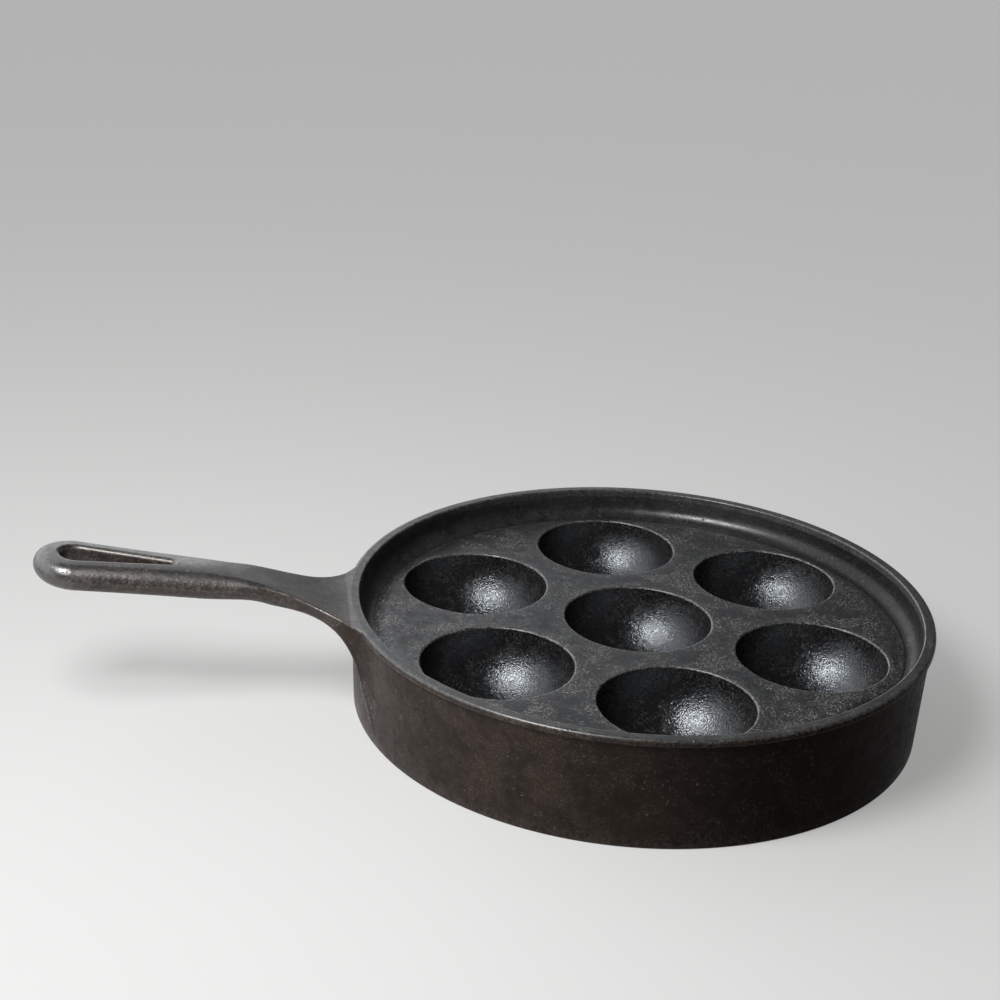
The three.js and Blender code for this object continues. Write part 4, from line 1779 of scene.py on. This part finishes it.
@dataclass(frozen=True)
class CameraSetting:
    """The photograph's viewpoint in pan space, solved from the pan's own circles."""

    place: Colour = (-154.4, -639.4, 350.7)
    heading: float = 0.14816  # radians from +Y towards +X
    pitch: float = 0.386879  # radians downward
    roll: float = 0.050065
    focal_pixels: float = 1789.02
    picture_pixels: float = 1000.0
    sensor: float = 36.0
    clip: Range = (0.01, 60.0)

    def make(self) -> None:
        """Adds the camera and makes it the scene's own."""
        data = bpy.data.cameras.new("photo_camera")
        data.sensor_fit = "AUTO"
        data.sensor_width = self.sensor
        data.lens = self.focal_pixels / self.picture_pixels * self.sensor
        data.clip_start, data.clip_end = self.clip
        east, north = math.sin(self.heading), math.cos(self.heading)
        level = math.cos(self.pitch)
        ahead = Vector((east * level, north * level, -math.sin(self.pitch)))
        right = Vector((north, -east, 0.0))
        up = right.cross(ahead)
        side = math.cos(self.roll) * right + math.sin(self.roll) * up
        top = math.cos(self.roll) * up - math.sin(self.roll) * right
        turn = Matrix((side, top, -ahead)).transposed().to_4x4()
        place = (Vector(self.place) + Vector((PAN_AXIS_X, 0.0, 0.0))) * MM
        camera = add_object("photo_camera", data)
        camera.matrix_world = Matrix.Translation(place) @ turn
        bpy.context.scene.camera = camera


@dataclass(frozen=True)
class Lamp:
    """A soft round lamp that faces the pan. Distance and size are in metres."""

    name: str
    direction: Colour
    distance: float
    size: float
    watts: float
    colour: Colour
    mirrored: bool = True  # shows in reflections

    def make(self, target: Vector) -> None:
        """Adds the lamp.

        Args:
            target: Point that it faces.
        """
        data = bpy.data.lights.new(self.name, "AREA")
        data.shape = "DISK"
        data.size = self.size
        data.energy = self.watts
        data.color = self.colour
        lamp = add_object(self.name, data)
        away = Vector(self.direction).normalized()
        lamp.location = target + away * self.distance
        lamp.rotation_euler = away.to_track_quat("Z", "Y").to_euler()
        lamp.visible_glossy = self.mirrored


@dataclass(frozen=True)
class Studio:
    """Pale floor, surroundings that are brighter at the back left, a key lamp and a low fill."""

    floor_reach: float = 8.0  # half of its width in metres
    floor_lines: int = 33
    floor_colour: Colour = (0.60, 0.59, 0.575)  # as the camera and reflections see it
    floor_shade: float = 0.97
    floor_clouds: Pattern = Pattern(240.0, 2.0, 0.5)
    bounce_colour: Colour = (0.24, 0.222, 0.208)  # as it lights the iron
    glow_colour: Colour = (0.79, 0.785, 0.775)
    floor_glow: float = 0.40
    sky_colour: Colour = (0.93, 0.96, 1.0)
    far_colour: Colour = (0.465, 0.465, 0.462)  # what the camera sees beyond the floor
    bright_side: Colour = (-0.82, 0.5, -0.28)
    bright_reach: Range = (0.04, 0.44)
    sky_range: Range = (0.05, 1.60)
    aim: Colour = (PAN_AXIS_X, 0.0, 35.0)  # what the lamps face, mm
    lamps: tuple[Lamp, ...] = (
        Lamp("key_lamp", (-0.52, -0.40, 0.755), 0.62, 0.28, 3.8, (0.96, 0.98, 1.0)),
        Lamp("left_fill", (-0.93, -0.22, 0.28), 1.0, 0.5, 1.8, (1.0, 0.97, 0.94), mirrored=False),
    )

    def floor_material(self) -> bpy.types.Material:
        """Makes the floor evenly pale where the camera and reflections see it, dimmer as a light.

        Returns:
            The floor's material.
        """
        material = bpy.data.materials.new("pale_floor")
        g = Graph(material)
        output = g.node("ShaderNodeOutputMaterial")
        matt = g.node("ShaderNodeBsdfDiffuse")
        path = g.node("ShaderNodeLightPath")
        seen = g.larger(path.outputs["Is Camera Ray"], path.outputs["Is Glossy Ray"])
        seen = g.larger(seen, path.outputs["Is Transmission Ray"])
        shade = tuple(c * self.floor_shade for c in self.floor_colour)
        clouded = g.mix(g.noise(self.floor_clouds), self.floor_colour, shade)
        g.put(matt.inputs["Color"], g.mix(seen, self.bounce_colour, clouded))
        glow = g.node("ShaderNodeEmission")
        g.put(glow.inputs["Color"], self.glow_colour)
        both = g.node("ShaderNodeMixShader")
        g.put(both.inputs["Fac"], g.times(seen, self.floor_glow))
        g.tree.links.new(matt.outputs[0], both.inputs[1])
        g.tree.links.new(glow.outputs[0], both.inputs[2])
        g.tree.links.new(both.outputs[0], output.inputs["Surface"])
        return material

    def floor(self) -> None:
        """Adds the floor as a finely divided sheet."""
        span = np.linspace(-self.floor_reach, self.floor_reach, self.floor_lines)
        x, y = np.meshgrid(span, span, indexing="ij")
        points = np.stack([x.ravel(), y.ravel(), np.zeros(x.size)], -1)
        index = np.arange(x.size).reshape(x.shape)
        faces = np.stack([index[:-1, :-1], index[1:, :-1], index[1:, 1:], index[:-1, 1:]], -1)
        mesh = bpy.data.meshes.new("floor")
        mesh.from_pydata(points.tolist(), [], faces.reshape(-1, 4).tolist())
        mesh.materials.append(self.floor_material())
        add_object("floor", mesh)

    def sky(self) -> None:
        """Sets the surroundings: bright at the back left, dim elsewhere, evenly pale to the camera."""
        world = bpy.data.worlds.new("studio")
        world.use_nodes = True
        tree = world.node_tree
        background = tree.nodes["Background"]
        place = tree.nodes.new("ShaderNodeTexCoord")
        towards = tree.nodes.new("ShaderNodeVectorMath")
        towards.operation = "DOT_PRODUCT"
        towards.inputs[1].default_value = self.bright_side
        spread = tree.nodes.new("ShaderNodeMapRange")
        spread.interpolation_type = "SMOOTHSTEP"
        for socket, number in zip(spread.inputs[1:5], (*self.bright_reach, *self.sky_range)):
            socket.default_value = number
        tree.links.new(place.outputs["Generated"], towards.inputs[0])
        tree.links.new(towards.outputs["Value"], spread.inputs["Value"])
        tree.links.new(spread.outputs["Result"], background.inputs["Strength"])
        background.inputs["Color"].default_value = (*self.sky_colour, 1.0)
        beyond = tree.nodes.new("ShaderNodeBackground")
        beyond.inputs["Color"].default_value = (*self.far_colour, 1.0)
        path = tree.nodes.new("ShaderNodeLightPath")
        both = tree.nodes.new("ShaderNodeMixShader")
        tree.links.new(path.outputs["Is Camera Ray"], both.inputs["Fac"])
        tree.links.new(background.outputs[0], both.inputs[1])
        tree.links.new(beyond.outputs[0], both.inputs[2])
        tree.links.new(both.outputs[0], tree.nodes["World Output"].inputs["Surface"])
        bpy.context.scene.world = world

    def make(self) -> None:
        """Sets up floor, surroundings and lamps."""
        self.floor()
        self.sky()
        for lamp in self.lamps:
            lamp.make(Vector(self.aim) * MM)
        bpy.context.scene.view_settings.view_transform = "Standard"


def main() -> None:
    """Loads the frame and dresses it."""
    logging.basicConfig(level=logging.INFO, format="%(name)s: %(message)s")
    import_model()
    CameraSetting().make()
    Studio().make()
    casting = Casting(PanSizes())
    casting.round_body()
    casting.handle(HandleSizes(), voxel=0.5)


if __name__ == "__main__":
    main()
